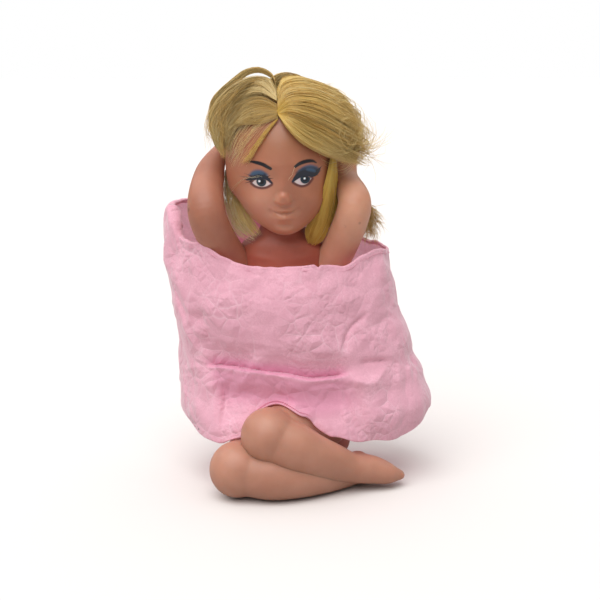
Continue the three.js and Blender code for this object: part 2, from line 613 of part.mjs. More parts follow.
function paperWrap(neighbours) {
  const points = [];
  for (const inset of [0, PAPER_THICKNESS]) {
    for (let row = 0; row <= WRAP_ROWS; row++) {
      for (let k = 0; k < WRAP_AROUND; k++) {
        points.push(wrapPlace((360 * k) / WRAP_AROUND, row / WRAP_ROWS, inset));
      }
    }
  }
  const layer = (WRAP_ROWS + 1) * WRAP_AROUND;
  const at = (sheet, row, k) => sheet * layer + row * WRAP_AROUND + (k % WRAP_AROUND);
  const index = [];
  const quad = (a, b, c, d) => index.push(a, b, c, a, c, d);
  for (let k = 0; k < WRAP_AROUND; k++) {
    for (let row = 0; row < WRAP_ROWS; row++) {
      quad(at(0, row, k), at(0, row, k + 1), at(0, row + 1, k + 1), at(0, row + 1, k));
      quad(at(1, row, k + 1), at(1, row, k), at(1, row + 1, k), at(1, row + 1, k + 1));
    }
    quad(at(1, 0, k), at(1, 0, k + 1), at(0, 0, k + 1), at(0, 0, k));
    quad(at(0, WRAP_ROWS, k), at(0, WRAP_ROWS, k + 1), at(1, WRAP_ROWS, k + 1), at(1, WRAP_ROWS, k));
  }
  const geometry = new THREE.BufferGeometry();
  geometry.setAttribute('position', new THREE.Float32BufferAttribute(points.flatMap((p) => [p.x, p.y, p.z]), 3));
  geometry.setIndex(index);
  return largest(cut(outward(geometry), ...neighbours));
}

// Hair: each lock is a list of stations, with its half width and half thickness at each

const lock = (at, width, thick) => ({ at, width, thick });
const over = (azimuth, elevation, lift, width, thick) => lock(scalp(azimuth, elevation, lift), width, thick);
const hung = (x, y, z, width, thick) => lock(beside(x, y, z), width, thick);

// The back locks, alike on both sides of the head.
const backLock = (side) => [
  over(side * 150, 60, 1.4, 2.2, 0.8),
  over(side * 148, 36, 1.5, 4.6, 1.1),
  over(side * 146, 10, 1.5, 5, 1.1),
  over(side * 146, -14, 1.8, 5, 1.3),
  hung(side * 10.5, 14.5, -13, 4, 1.4),
  hung(side * 10, 14.5, -18, 2, 1),
];
const crownLock = (side) => [
  over(side * 70, 79, 1.3, 1.8, 0.8),
  over(side * 102, 62, 1.6, 4.2, 1.2),
  over(side * 112, 45, 1.7, 4.6, 1.3),
  over(side * 118, 30, 1.7, 2.4, 1),
];

const locks = {
  hair_back_centre: [
    over(180, 64, 1.4, 2.4, 0.8),
    over(180, 38, 1.5, 5.2, 1.1),
    over(180, 12, 1.6, 5.8, 1.2),
    over(180, -14, 2, 5.8, 1.4),
    hung(0, 19.6, -13, 4.6, 1.4),
    hung(0, 19, -18, 2.2, 1),
  ],
  hair_back_left: backLock(1),
  hair_back_right: backLock(-1),
  hair_crown_left: crownLock(1),
  hair_crown_right: crownLock(-1),
  hair_right_wisp: [
    over(-13, 38, 0.9, 1, 0.5),
    over(-30, 30, 1.1, 2.6, 0.6),
    over(-50, 16, 1.3, 3.2, 0.7),
    over(-68, 0, 1.8, 2.8, 0.8),
    over(-80, -12, 2.4, 1.2, 0.7),
  ],
  hair_right_sweep: [
    over(-13, 46, 1.3, 1.6, 0.9),
    over(-38, 52, 3.2, 3.4, 1.6),
    over(-66, 44, 5.6, 3.6, 2.2),
    over(-82, 28, 7.4, 3, 2.2),
    over(-86, 10, 8, 2.2, 1.8),
    over(-86, -3, 7.6, 1, 1),
  ],
  hair_right_drape: [
    over(-20, 60, 1.3, 1.8, 0.9),
    over(-48, 66, 4.2, 3.6, 1.8),
    over(-76, 54, 7, 3.6, 2.4),
    over(-88, 38, 8.6, 3, 2.2),
    over(-91, 22, 8.6, 2.2, 1.8),
    over(-92, 10, 8, 1, 1),
  ],
  hair_crown_loop: [
    over(-22, 74, 1.3, 1.6, 0.9),
    over(-60, 80, 6, 2.2, 1.3),
    over(-84, 71, 8.6, 2.2, 1.3),
    over(-88, 58, 11.4, 2.2, 1.3),
    over(-90, 44, 12, 2, 1.3),
    over(-93, 30, 11, 1, 1),
  ],
  hair_left_sweep_front: [
    over(-6, 39, 1.2, 1.6, 0.9),
    over(14, 36, 2.4, 3.4, 1.6),
    over(38, 26, 4, 4.2, 2.2),
    over(60, 14, 6, 4.2, 2.6),
    over(76, 5, 8, 3.2, 2.4),
    over(84, -1, 9.2, 1.4, 1.2),
  ],
  hair_left_sweep_middle: [
    over(-5, 48.5, 1.5, 1.7, 0.9),
    over(14, 48, 3.6, 3.8, 2),
    over(40, 42, 6, 4.6, 2.6),
    over(62, 32, 8.2, 4.4, 2.8),
    over(78, 20, 9.8, 3.4, 2.4),
    over(86, 11, 10.4, 1.4, 1.2),
  ],
  hair_left_sweep_top: [
    over(-14, 60, 1.4, 2, 0.9),
    over(12, 66, 4, 4.2, 2),
    over(48, 60, 6, 5, 2.6),
    over(68, 46, 8, 4.8, 2.8),
    over(80, 33, 9.6, 3.4, 2.4),
    over(86, 24, 10, 1.4, 1.2),
  ],
  hair_right_side_lock: [
    over(-98, 4, 1.6, 2, 1),
    hung(-16.6, 2, -4, 3.2, 1.8),
    hung(-15.5, 0, -12, 3.4, 2.2),
    hung(-13, -2, -19, 3.2, 2.4),
    hung(-9.5, -3.5, -24, 2.6, 2),
    hung(-7, -4, -25.6, 1.2, 1),
  ],
  hair_left_side_lock: [
    over(100, 4, 1.6, 2, 1),
    hung(15.4, 3, -6, 3.4, 2.2),
    hung(13.8, 1.5, -13, 3.6, 2.8),
    hung(11.5, 0, -19, 3.4, 3),
    hung(8.8, -1.5, -23.5, 2.8, 2.4),
    hung(7.2, -2, -25.4, 1.4, 1.2),
  ],
  hair_left_tail: [
    over(150, -28, 2.6, 1.6, 0.9),
    hung(16, 13, -15.5, 2, 1.2),
    hung(23.5, 9, -17, 1.9, 1.2),
    hung(28, 5.5, -20, 1.7, 1.1),
    hung(30, 3, -24.5, 0.9, 0.8),
  ],
};

// What the hair must stay clear of, in the head's own frame: the torso and wrap as the head turns past
// them, and both arms through their swing.
function hairKeepOut(torso, wrap) {
  const neck = neckAxis(0);
  const turns = [-HEAD_TURN, 0, HEAD_TURN];
  const still = turns.map((turn) => turned(join(torso, wrap), Z_AXIS, -turn, neck));
  const arms = [-1, 1].flatMap((side) => {
    const lump = armLump(side, SWEEP_GAP);
    return [0, ARM_SWING / 2, ARM_SWING].flatMap((swing) => {
      const swung = turned(lump, X_AXIS, -swing, armSeat(side));
      return turns.map((turn) => turned(swung, Z_AXIS, -turn, neck));
    });
  });
  return join(...still, ...arms);
}

function hairSolids(keepOut) {
  const taken = [headLump(HAIR_GAP), keepOut];
  return Object.entries(locks).map(([name, stations]) => {
    const whole = swept(stations, awayFromHead, { sides: 8, steps: 2 });
    const body = largest(cut(whole, ...taken));
    taken.push(swept(stations, awayFromHead, { sides: 8, steps: 2, grow: HAIR_GAP }));
    return [name, body];
  });
}

// Assembly

// Corners closer together than the weld become one, and the faces between them go.
function welded(geometry) {
  const joined = mergeVertices(geometry, WELD);
  const faces = joined.index.array;
  const kept = [];
  for (let k = 0; k < faces.length; k += 3) {
    const [a, b, c] = faces.slice(k, k + 3);
    if (a !== b && b !== c && c !== a) {
      kept.push(a, b, c);
    }
  }
  joined.setIndex(kept);
  return joined;
}

const doll = new THREE.Group();
function place(name, body, material) {
  const mesh = new THREE.Mesh(welded(shape(body)), material);
  mesh.name = name;
  doll.add(mesh);
}

const torso = torsoShell();
const left = legShell(leftLeg, leftLegPlug);
const right = legShell(rightLeg, rightLegPlug, leftLeg);
const torsoGrown = stacked(torsoSections, JOINT_GAP, 24, 2);
const wrap = paperWrap([leftLeg(PAPER_GAP), rightLeg(PAPER_GAP)]);

place('torso_shell', torso, vinyl);
place('head_shell', headShell(), vinyl);
place('right_arm_shell', armShell(-1, rightArmPlug), vinyl);
place('left_arm_shell', armShell(1, leftArmPlug), vinyl);
place('right_leg_shell', right, vinyl);
place('left_leg_shell', left, vinyl);
place('paper_wrap', wrap, paper);
for (const [name, body] of hairSolids(hairKeepOut(torsoGrown, wrap))) {
  place(name, body, fibre);
}

export default doll;
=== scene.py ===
import math

import bpy
import numpy as np
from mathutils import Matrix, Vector
from mathutils.geometry import delaunay_2d_cdt


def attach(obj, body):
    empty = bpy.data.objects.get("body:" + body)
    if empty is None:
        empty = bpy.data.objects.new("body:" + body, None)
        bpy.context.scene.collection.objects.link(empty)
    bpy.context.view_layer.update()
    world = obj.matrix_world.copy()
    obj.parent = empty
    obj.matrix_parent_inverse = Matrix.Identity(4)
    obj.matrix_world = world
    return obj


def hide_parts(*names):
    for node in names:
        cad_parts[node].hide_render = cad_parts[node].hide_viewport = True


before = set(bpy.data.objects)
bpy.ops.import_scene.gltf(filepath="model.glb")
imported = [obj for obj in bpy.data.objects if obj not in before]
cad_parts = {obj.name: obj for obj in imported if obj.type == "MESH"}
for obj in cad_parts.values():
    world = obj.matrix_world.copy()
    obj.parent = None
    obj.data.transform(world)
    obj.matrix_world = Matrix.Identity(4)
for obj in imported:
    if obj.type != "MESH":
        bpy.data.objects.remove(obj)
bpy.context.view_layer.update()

# A seated doll of cast vinyl with rooted hair, wound in one sheet of crumpled pink paper.
# Sizes are in millimetres here and become metres when a mesh is made. The doll faces -Y.
MM = 0.001

# Body, as the solids have it
NECK = np.array([-5.5, 4.0])
NECK_RADIUS = 6.8
HEAD_SEAT = 82.2
JOINT_GAP = 0.3
HEAD_CENTRE = np.array([-5.0, 1.0, 102.0])
HEAD_HALF = np.array([15.5, 18.0, 22.0])
FACE_ROLL = 3.0  # degrees that the face leans to the doll's right
TEMPLE_OUT = 2.9  # most that the doll's right temple and ear stand out beyond the oval
JOWL = 1.3  # how much fuller the cheeks are beside the mouth than the oval
ARM_SEAT_OUT = 12.0
ARM_SEAT_Y = 3.0
ARM_SEAT_Z = 66.9
ARM_ROOT = 5.8
PALM_LIFT = 5.2  # how far the palms stand off the scalp
TORSO_SECTIONS = np.array([  # x, y, z, half width, half depth
    (1.0, 8.0, 0.0, 9.0, 8.0),
    (1.0, 8.0, 4.33, 13.9, 12.1),
    (1.0, 8.0, 13.0, 15.5, 13.5),
    (-1.8, 6.0, 36.0, 11.5, 9.5),
    (-5.0, 4.0, 57.0, 14.0, 11.0),
    (-5.5, 4.0, 69.5, 14.9, 9.2),
    (-5.5, 4.0, 75.5, 13.4, 8.2),
    (-5.5, 4.0, 79.2, 8.4, 7.0),
    (-5.5, 4.0, 82.2, 6.8, 6.8),
])
LEFT_KNEE = np.array([-9.5, -23.0, 20.0])
LEFT_ANKLE = np.array([16.3, -17.2, 7.6])
LEFT_TOE = np.array([31.4, -12.8, 3.8])
RIGHT_KNEE = np.array([-19.3, -23.0, 9.2])
RIGHT_ANKLE = np.array([14.0, -14.5])
RIGHT_TOE = np.array([26.0, -4.0])
LEFT_HIP = np.array([8.4, 0.4, 16.6])
RIGHT_HIP = np.array([-6.4, 0.4, 13.0])
KNEE_RADIUS = 8.9
HEEL_RADIUS = 4.0


# Mesh making

def grid_faces(rows, columns, closed):
    """Four-cornered faces of a grid of points. A closed grid joins its last column to its first."""
    row = np.arange(rows - 1)[:, None]
    column = np.arange(columns if closed else columns - 1)[None, :]
    after = (column + 1) % columns
    corners = [row * columns + column, row * columns + after, (row + 1) * columns + after,
               (row + 1) * columns + column]
    return np.stack(np.broadcast_arrays(*corners), -1).reshape(-1, 4)


def piece(name, points, faces, material):
    """A mesh object at the origin, from points in millimetres and faces that all have as many corners."""
    mesh = bpy.data.meshes.new(name)
    corners = faces.shape[1]
    mesh.vertices.add(len(points))
    mesh.vertices.foreach_set("co", (np.asarray(points) * MM).astype(np.float32).ravel())
    mesh.loops.add(faces.size)
    mesh.loops.foreach_set("vertex_index", faces.astype(np.int32).ravel())
    mesh.polygons.add(len(faces))
    mesh.polygons.foreach_set("loop_start", np.arange(0, faces.size, corners, dtype=np.int32))
    mesh.update(calc_edges=True)
    mesh.polygons.foreach_set("use_smooth", np.ones(len(faces), dtype=bool))
    mesh.materials.append(material)
    made = bpy.data.objects.new(name, mesh)
    bpy.context.scene.collection.objects.link(made)
    return made


def store(made, name, values):
    """Keeps one number, or one colour of four numbers, for each point of a piece."""
    kind, key = ("FLOAT", "value") if values.ndim == 1 else ("FLOAT_COLOR", "color")
    layer = made.data.attributes.new(name, kind, "POINT")
    layer.data.foreach_set(key, values.astype(np.float32).ravel())


def smooth_line(points, share, power=0.5):
    """A Catmull-Rom line through points at shares 0 to 1, with knots spaced by distance to that power."""
    known = np.asarray(points, dtype=float)
    known = np.concatenate([2 * known[:1] - known[1:2], known, 2 * known[-1:] - known[-2:-1]])
    place = np.clip(np.asarray(share, dtype=float), 0, 1) * (len(known) - 3)
    first = np.minimum(place.astype(int), len(known) - 4)
    w = (place - first)[..., None]
    a, b, c, d = (known[first + k] for k in range(4))

    def gap(start, end):
        return np.maximum(np.linalg.norm(end - start, axis=-1, keepdims=True), 1e-6) ** power

    ab, bc, cd = gap(a, b), gap(b, c), gap(c, d)
    leave = ((b - a) / ab - (c - a) / (ab + bc) + (c - b) / bc) * bc
    reach = ((c - b) / bc - (d - b) / (bc + cd) + (d - c) / cd) * bc
    return ((2 * w**3 - 3 * w**2 + 1) * b + (w**3 - 2 * w**2 + w) * leave
            + (3 * w**2 - 2 * w**3) * c + (w**3 - w**2) * reach)


def unit(vectors):
    """Vectors divided by their own lengths."""
    return vectors / np.maximum(np.linalg.norm(vectors, axis=-1, keepdims=True), 1e-9)


def smooth_step(value, low, high):
    """0 below low, 1 above high, and the cubic 3t^2 - 2t^3 between."""
    t = np.clip((value - low) / (high - low), 0, 1)
    return t * t * (3 - 2 * t)


def value_noise(places, seed):
    """Soft noise from -1 to 1, about one unit wide: random heights on a lattice, eased between them."""
    cells = np.random.default_rng(seed).uniform(-1, 1, (64,) * places.shape[-1])
    floor = np.floor(places).astype(int)
    t = places - floor
    t = t * t * (3 - 2 * t)
    total = 0
    for corner in np.ndindex(*(2,) * places.shape[-1]):
        near = np.array(corner)
        weight = np.prod(np.where(near == 1, t, 1 - t), axis=-1)
        total = total + weight * cells[tuple(np.moveaxis((floor + near) % 64, -1, 0))]
    return total


# The head's own frame

def direction(azimuth, elevation):
    """Unit vectors from the head's centre: azimuth from the face toward the doll's left, and elevation."""
    around, up = np.radians(azimuth), np.radians(elevation)
    level = np.cos(up)
    return np.stack([np.sin(around) * level, -np.cos(around) * level, np.sin(up) + 0 * around], -1)


def away_from_head(places):
    """Outward normals of the head's oval, carried out through space."""
    return unit((places - HEAD_CENTRE) / HEAD_HALF**2)


def scalp(azimuth, elevation, lift):
    """A place over the scalp in a direction, standing off along the oval's normal."""
    place = HEAD_CENTRE + HEAD_HALF * direction(azimuth, elevation)
    return place + lift * away_from_head(place)


def temple(from_centre):
    """How far the doll's right temple and ear stand out beyond the oval, fading ahead, above and below."""
    x, y, z = np.moveaxis(from_centre, -1, 0)
    tall = smooth_step(z, -14, -7) * (1 - smooth_step(z, 8, 18))
    return TEMPLE_OUT * tall * np.exp(-((y / 10) ** 2)) * smooth_step(-x, 6, 14)


# Limbs: ovals carried along a smooth line

def limb(stations, rows=60, sides=40, facing=None):
    """A closed limb: an oval carried along a smooth line through stations (x, y, z and two half sizes).
    Each end closes on a point, and the far one swells into half a ball first."""
    stations = np.asarray(stations, dtype=float)
    share = np.linspace(0, 1, rows)
    at = smooth_line(stations[:, :3], share)
    half = smooth_line(stations[:, 3:], share)
    along = unit(np.gradient(at, axis=0))
    lean = np.broadcast_to([0.0, 0.0, 1.0], at.shape) if facing is None else facing(at)
    across = unit(np.cross(along, lean))
    out = np.cross(across, along)
    cap = np.radians(np.linspace(9, 90, 10))[:, None]
    at = np.concatenate([at[:1], at, at[-1] + along[-1] * half[-1].mean() * np.sin(cap)])
    half = np.concatenate([0 * half[:1], half, half[-1] * np.cos(cap)])
    across, out = (np.pad(way, ((1, len(cap)), (0, 0)), mode="edge")[:, None] for way in (across, out))
    turn = np.linspace(0, 2 * np.pi, sides, endpoint=False)[None, :, None]
    ring = (at[:, None] + across * half[:, None, :1] * np.cos(turn)
            + out * half[:, None, 1:] * np.sin(turn))
    return ring.reshape(-1, 3), grid_faces(len(at), sides, True)


def ball(centre, radius, rows=24, sides=40):
    """A ball as rings of latitude."""
    up = np.radians(np.linspace(-90, 90, rows))[:, None]
    turn = np.linspace(0, 2 * np.pi, sides, endpoint=False)[None, :]
    ring = np.stack([np.cos(up) * np.cos(turn), np.cos(up) * np.sin(turn), np.sin(up) + 0 * turn], -1)
    return (np.asarray(centre) + radius * ring).reshape(-1, 3), grid_faces(rows, sides, True)


def cast(name, forms, material, voxel, smoothing):
    """Several closed forms as one cast skin: their union on a fine voxel grid, eased where they meet."""
    starts = np.cumsum([0] + [len(points) for points, _ in forms[:-1]])
    points = np.concatenate([points for points, _ in forms])
    faces = np.concatenate([faces + start for (_, faces), start in zip(forms, starts)])
    made = piece(name, points, faces, material)
    skin = made.modifiers.new("cast skin", "REMESH")
    skin.mode = "VOXEL"
    skin.voxel_size = voxel * MM
    skin.use_smooth_shade = True
    eased = made.modifiers.new("eased joins", "SMOOTH")
    eased.factor = 0.5
    eased.iterations = smoothing
    return made


def with_sizes(places, *sizes):
    """Stations from places and their half sizes, one number where the limb is round."""
    pairs = [(size, size) if np.isscalar(size) else size for size in sizes]
    return np.concatenate([np.asarray(places), np.asarray(pairs, dtype=float)], axis=1)


def arm_stations(side):
    """Shoulder, upper arm, elbow, forearm, wrist and palm. The hand lies on the back of the hair."""
    seat = np.array([NECK[0] + side * ARM_SEAT_OUT, ARM_SEAT_Y, ARM_SEAT_Z])
    if side > 0:
        reach, elbow_radius = (10.5, -7.5, 22.5), 5.3
        forearm, forearm_radius = scalp(98, -12, 4.5), 4.0
    else:
        reach, elbow_radius = (-11.3, -11.0, 20.0), 5.9
        forearm, forearm_radius = scalp(-93, -8, 8.2), 4.7
    elbow = seat + reach
    upper = seat + 0.42 * (elbow - seat) + (side * 1.4, 0.6, -1.6)
    root = seat + (side * JOINT_GAP, 0, 0)
    places = [root, root + (side * 1.2, 0, 0.2), upper, elbow, forearm, scalp(side * 112, 6, 6.1),
              scalp(side * 126, 11, PALM_LIFT), scalp(side * 136, 13, PALM_LIFT)]
    return with_sizes(places, ARM_ROOT - 0.3, ARM_ROOT - 0.2, (ARM_ROOT + elbow_radius) / 2, elbow_radius,
                      forearm_radius, (2.9, 2.5), (3.8, 1.8), (3.2, 1.5))


def finger_stations(side):
    """Four fingers spread up the back of the head and a thumb ahead of them."""
    ends = [(130, 12 + (tip - 11.5) * 0.55, 153, tip, 4.3) for tip in (1, 8, 15, 22)]
    ends.append((122, 16, 128, 32, 4.6))
    for root_az, root_el, tip_az, tip_el, lift in ends:
        root = scalp(side * root_az, root_el, PALM_LIFT)
        tip = scalp(side * tip_az, tip_el, lift)
        yield with_sizes([root, (root + tip) / 2, tip], 1.25, 0.95, 0.7)


def thigh_stations(hip, knee, bow):
    """From inside the hip to the knee, bowed at its middle."""
    return with_sizes([hip - (0, 0.4, 0), hip - (0, 1, 0), (hip + knee) / 2 + bow, knee], 7.2, 7.2, 8.2, 7.8)


def left_leg_lines():
    """Thigh, then shin and foot, of the leg on top, whose heel points up."""
    def toward(share, *more):
        return LEFT_KNEE + share * (LEFT_ANKLE - LEFT_KNEE) + more

    def foot(share, lift):
        return LEFT_ANKLE + share * (LEFT_TOE - LEFT_ANKLE) + (0, 0, lift)

    shin = with_sizes([LEFT_KNEE, toward(0.24, 0, -2.2, 0), toward(0.5, 0, -2, -0.6),
                       toward(0.78, 0, -0.8, -0.4), LEFT_ANKLE, foot(0.4, 0.4), foot(0.78, 0), LEFT_TOE],
                      7.6, 8.1, 7.3, 6.05, 4.8, 4.6, (4.3, 3.4), (2.4, 1.8))
    return thigh_stations(LEFT_HIP, LEFT_KNEE, (0, 0, 1.6)), shin


def right_leg_lines():
    """The same of the leg below, each part of it standing on the floor on its own thickness."""
    def lying(share, back, radius):
        x, y = RIGHT_KNEE[:2] + share * (RIGHT_ANKLE - RIGHT_KNEE[:2])
        return x, y - back, radius + 0.2

    middle = (RIGHT_ANKLE + RIGHT_TOE) / 2
    shin = with_sizes([RIGHT_KNEE, lying(0.3, 4.6, 7.5), lying(0.58, 5.2, 6.5), lying(0.82, 3, 5.25),
                       lying(1, 0, 4.6), (*middle, 4.6), (*RIGHT_TOE, 2.4)],
                      7.6, 7.5, 6.5, 5.25, 4.6, 4.4, (2.4, 2.0))
    return thigh_stations(RIGHT_HIP, RIGHT_KNEE, (-1, 0, 0)), shin


def leg_forms(lines, knee, *more):
    """Thigh, knee and shin as closed forms, and any ball more."""
    return [limb(lines[0]), ball(knee, KNEE_RADIUS), limb(lines[1], rows=90), *more]


def torso_surface():
    """Ovals stacked up the body, faced flat where the arms sit, with a shallow collar bone each side."""
    rows, sides = 260, 150
    share = np.linspace(0, 1, rows)
    at = smooth_line(TORSO_SECTIONS[:, :3], share, power=0)
    half = smooth_line(TORSO_SECTIONS[:, 3:], share, power=0)
    turn = np.linspace(0, 2 * np.pi, sides, endpoint=False)
    x = at[:, :1] + half[:, :1] * np.cos(turn)
    y = at[:, 1:2] + half[:, 1:] * np.sin(turn)
    z = at[:, 2:] + 0 * turn
    aside = np.abs(x - NECK[0])
    bone = np.exp(-((z - 71.5 - 0.14 * aside) / 1.1) ** 2 - ((aside - 7) / 4) ** 2)
    y = y - 0.2 * bone * (np.sin(turn) < 0)
    faced = (y - ARM_SEAT_Y) ** 2 + (z - ARM_SEAT_Z) ** 2 < (ARM_ROOT + JOINT_GAP) ** 2
    x = np.where(faced, NECK[0] + np.clip(x - NECK[0], -ARM_SEAT_OUT, ARM_SEAT_OUT), x)
    points = np.stack([x, y, z], -1)
    ends = np.broadcast_to(points[[0, -1]].mean(axis=1, keepdims=True), (2, sides, 3))
    points = np.concatenate([ends[:1], points, ends[1:]])
    return points.reshape(-1, 3), grid_faces(rows + 2, sides, True)


# Materials

def linear(code):
    """An sRGB hex colour as linear red, green, blue and full opacity."""
    value = np.array([int(code[k:k + 2], 16) for k in (1, 3, 5)]) / 255
    return (*np.where(value <= 0.04045, value / 12.92, ((value + 0.055) / 1.055) ** 2.4), 1.0)


def node(tree, kind, inputs=(), **settings):
    """Adds one node, sets its own settings, and sets or links its inputs by name or number."""
    made = tree.nodes.new(kind)
    for key, value in settings.items():
        setattr(made, key, value)
    for key, value in dict(inputs).items():
        if isinstance(value, bpy.types.NodeSocket):
            tree.links.new(value, made.inputs[key])
        else:
            made.inputs[key].default_value = value
    return made


def new_material(name):
    """An empty node material and its tree."""
    material = bpy.data.materials.new(name)
    material.use_nodes = True
    material.node_tree.nodes.clear()
    return material, material.node_tree


def per_mm(size):
    """Texture scale whose features are this many millimetres wide."""
    return 1 / (size * MM)


def marked(tree, place, colour, marks, dirt):
    """Lays small round marks of dirt over a colour, each (x, y, z, radius) in millimetres."""
    for x, y, z, radius in marks:
        far = node(tree, "ShaderNodeVectorMath", {0: place, 1: (x * MM, y * MM, z * MM)},
                   operation="DISTANCE")
        cover = node(tree, "ShaderNodeMapRange", {
            "Value": far.outputs["Value"], "From Min": radius * MM, "From Max": 0.5 * radius * MM,
            "To Max": 0.6})
        colour = node(tree, "ShaderNodeMix", {
            "Factor": cover.outputs["Result"], "A": colour, "B": linear(dirt)}, data_type="RGBA").outputs[2]
    return colour


def cast_vinyl(name, tone, shade, painted=False, marks=()):
    """Soft PVC, slush cast in a heated mould and left unpainted: satin, slightly waxy, with a cloudy tint
    where the wall varies, rubbed grey grime in spots, and a fine mould grain. The face is sprayed and stamped
    with paint, which is glossier; the same layer carries painted light and painted shade on the face,
    glossier there too."""
    material, tree = new_material(name)
    place = node(tree, "ShaderNodeTexCoord").outputs["Object"]
    cloud = node(tree, "ShaderNodeTexNoise", {"Vector": place, "Scale": per_mm(9), "Detail": 4.0})
    tint = node(tree, "ShaderNodeMapRange", {
        "Value": cloud.outputs["Fac"], "From Min": 0.32, "From Max": 0.68})
    skin = node(tree, "ShaderNodeMix", {
        "Factor": tint.outputs["Result"], "A": linear(shade), "B": linear(tone)}, data_type="RGBA")
    fleck = node(tree, "ShaderNodeTexNoise", {
        "Vector": place, "Scale": per_mm(3.2), "Detail": 5.0, "Roughness": 0.7})
    grime = node(tree, "ShaderNodeMapRange", {
        "Value": fleck.outputs["Fac"], "From Min": 0.66, "From Max": 0.78, "To Max": 0.3})
    colour = node(tree, "ShaderNodeMix", {
        "Factor": grime.outputs["Result"], "A": skin.outputs[2], "B": linear("#6f5046")}, data_type="RGBA")
    colour = marked(tree, place, colour.outputs[2], marks, "#5a3c32")
    rough = 0.5
    if painted:
        paint = node(tree, "ShaderNodeAttribute", attribute_name="paint")
        colour = node(tree, "ShaderNodeMix", {
            "Factor": paint.outputs["Alpha"], "A": colour, "B": paint.outputs["Color"]},
            data_type="RGBA").outputs[2]
        rough = node(tree, "ShaderNodeMapRange", {
            "Value": paint.outputs["Alpha"], "To Min": rough, "To Max": 0.3}).outputs["Result"]
    grain = node(tree, "ShaderNodeTexNoise", {"Vector": place, "Scale": per_mm(0.5), "Detail": 3.0})
    bump = node(tree, "ShaderNodeBump", {
        "Height": grain.outputs["Fac"], "Strength": 0.06, "Distance": 0.1 * MM})
    shader = node(tree, "ShaderNodeBsdfPrincipled", {
        "Base Color": colour, "Roughness": rough, "Normal": bump.outputs["Normal"], "IOR": 1.53,
        "Subsurface Weight": 0.6, "Subsurface Radius": (1.0, 0.42, 0.25), "Subsurface Scale": 3.5 * MM})
    node(tree, "ShaderNodeOutputMaterial", {"Surface": shader.outputs[0]})
    return material


def drawn_fibre(name, ash, gold):
    """Drawn synthetic doll fibre, rooted in tufts: silky, each fibre with its own tone between a dark and a
    light one, golden where it stayed covered and ashen where it faded, letting some light through."""
    material, tree = new_material(name)
    tone = node(tree, "ShaderNodeAttribute", attribute_name="tone").outputs["Fac"]
    warmth = node(tree, "ShaderNodeAttribute", attribute_name="warmth").outputs["Fac"]
    ashen, golden = (node(tree, "ShaderNodeMix", {"Factor": tone, "A": linear(dark), "B": linear(light)},
                          data_type="RGBA").outputs[2] for dark, light in (ash, gold))
    colour = node(tree, "ShaderNodeMix", {"Factor": warmth, "A": ashen, "B": golden}, data_type="RGBA")
    colour = colour.outputs[2]
    shine = node(tree, "ShaderNodeBsdfPrincipled", {
        "Base Color": colour, "Roughness": 0.36, "IOR": 1.5, "Specular IOR Level": 0.5})
    through = node(tree, "ShaderNodeBsdfTranslucent", {"Color": colour})
    both = node(tree, "ShaderNodeMixShader", {0: 0.4, 1: shine.outputs[0], 2: through.outputs[0]})
    node(tree, "ShaderNodeOutputMaterial", {"Surface": both.outputs[0]})
    return material


PULP = (  # mottling of the paper: width in mm, detail, range of the noise, most cover, and which tone covers
    (6.0, 6.0, 0.3, 0.7, 1.0, "tone"),
    (0.5, 3.0, 0.35, 0.65, 0.9, "shade"),
)
CREASES = (  # facets of the paper: width, depth, width of the patches that show them, and paleness of a fold
    (11.0, 2.0, 24.0, 0.15),
    (5.0, 1.3, 15.0, 0.3),
    (2.3, 0.45, 11.0, 0.1),
)
FOLD_WIDTH = 0.2  # of the pale line where a fold broke the dye


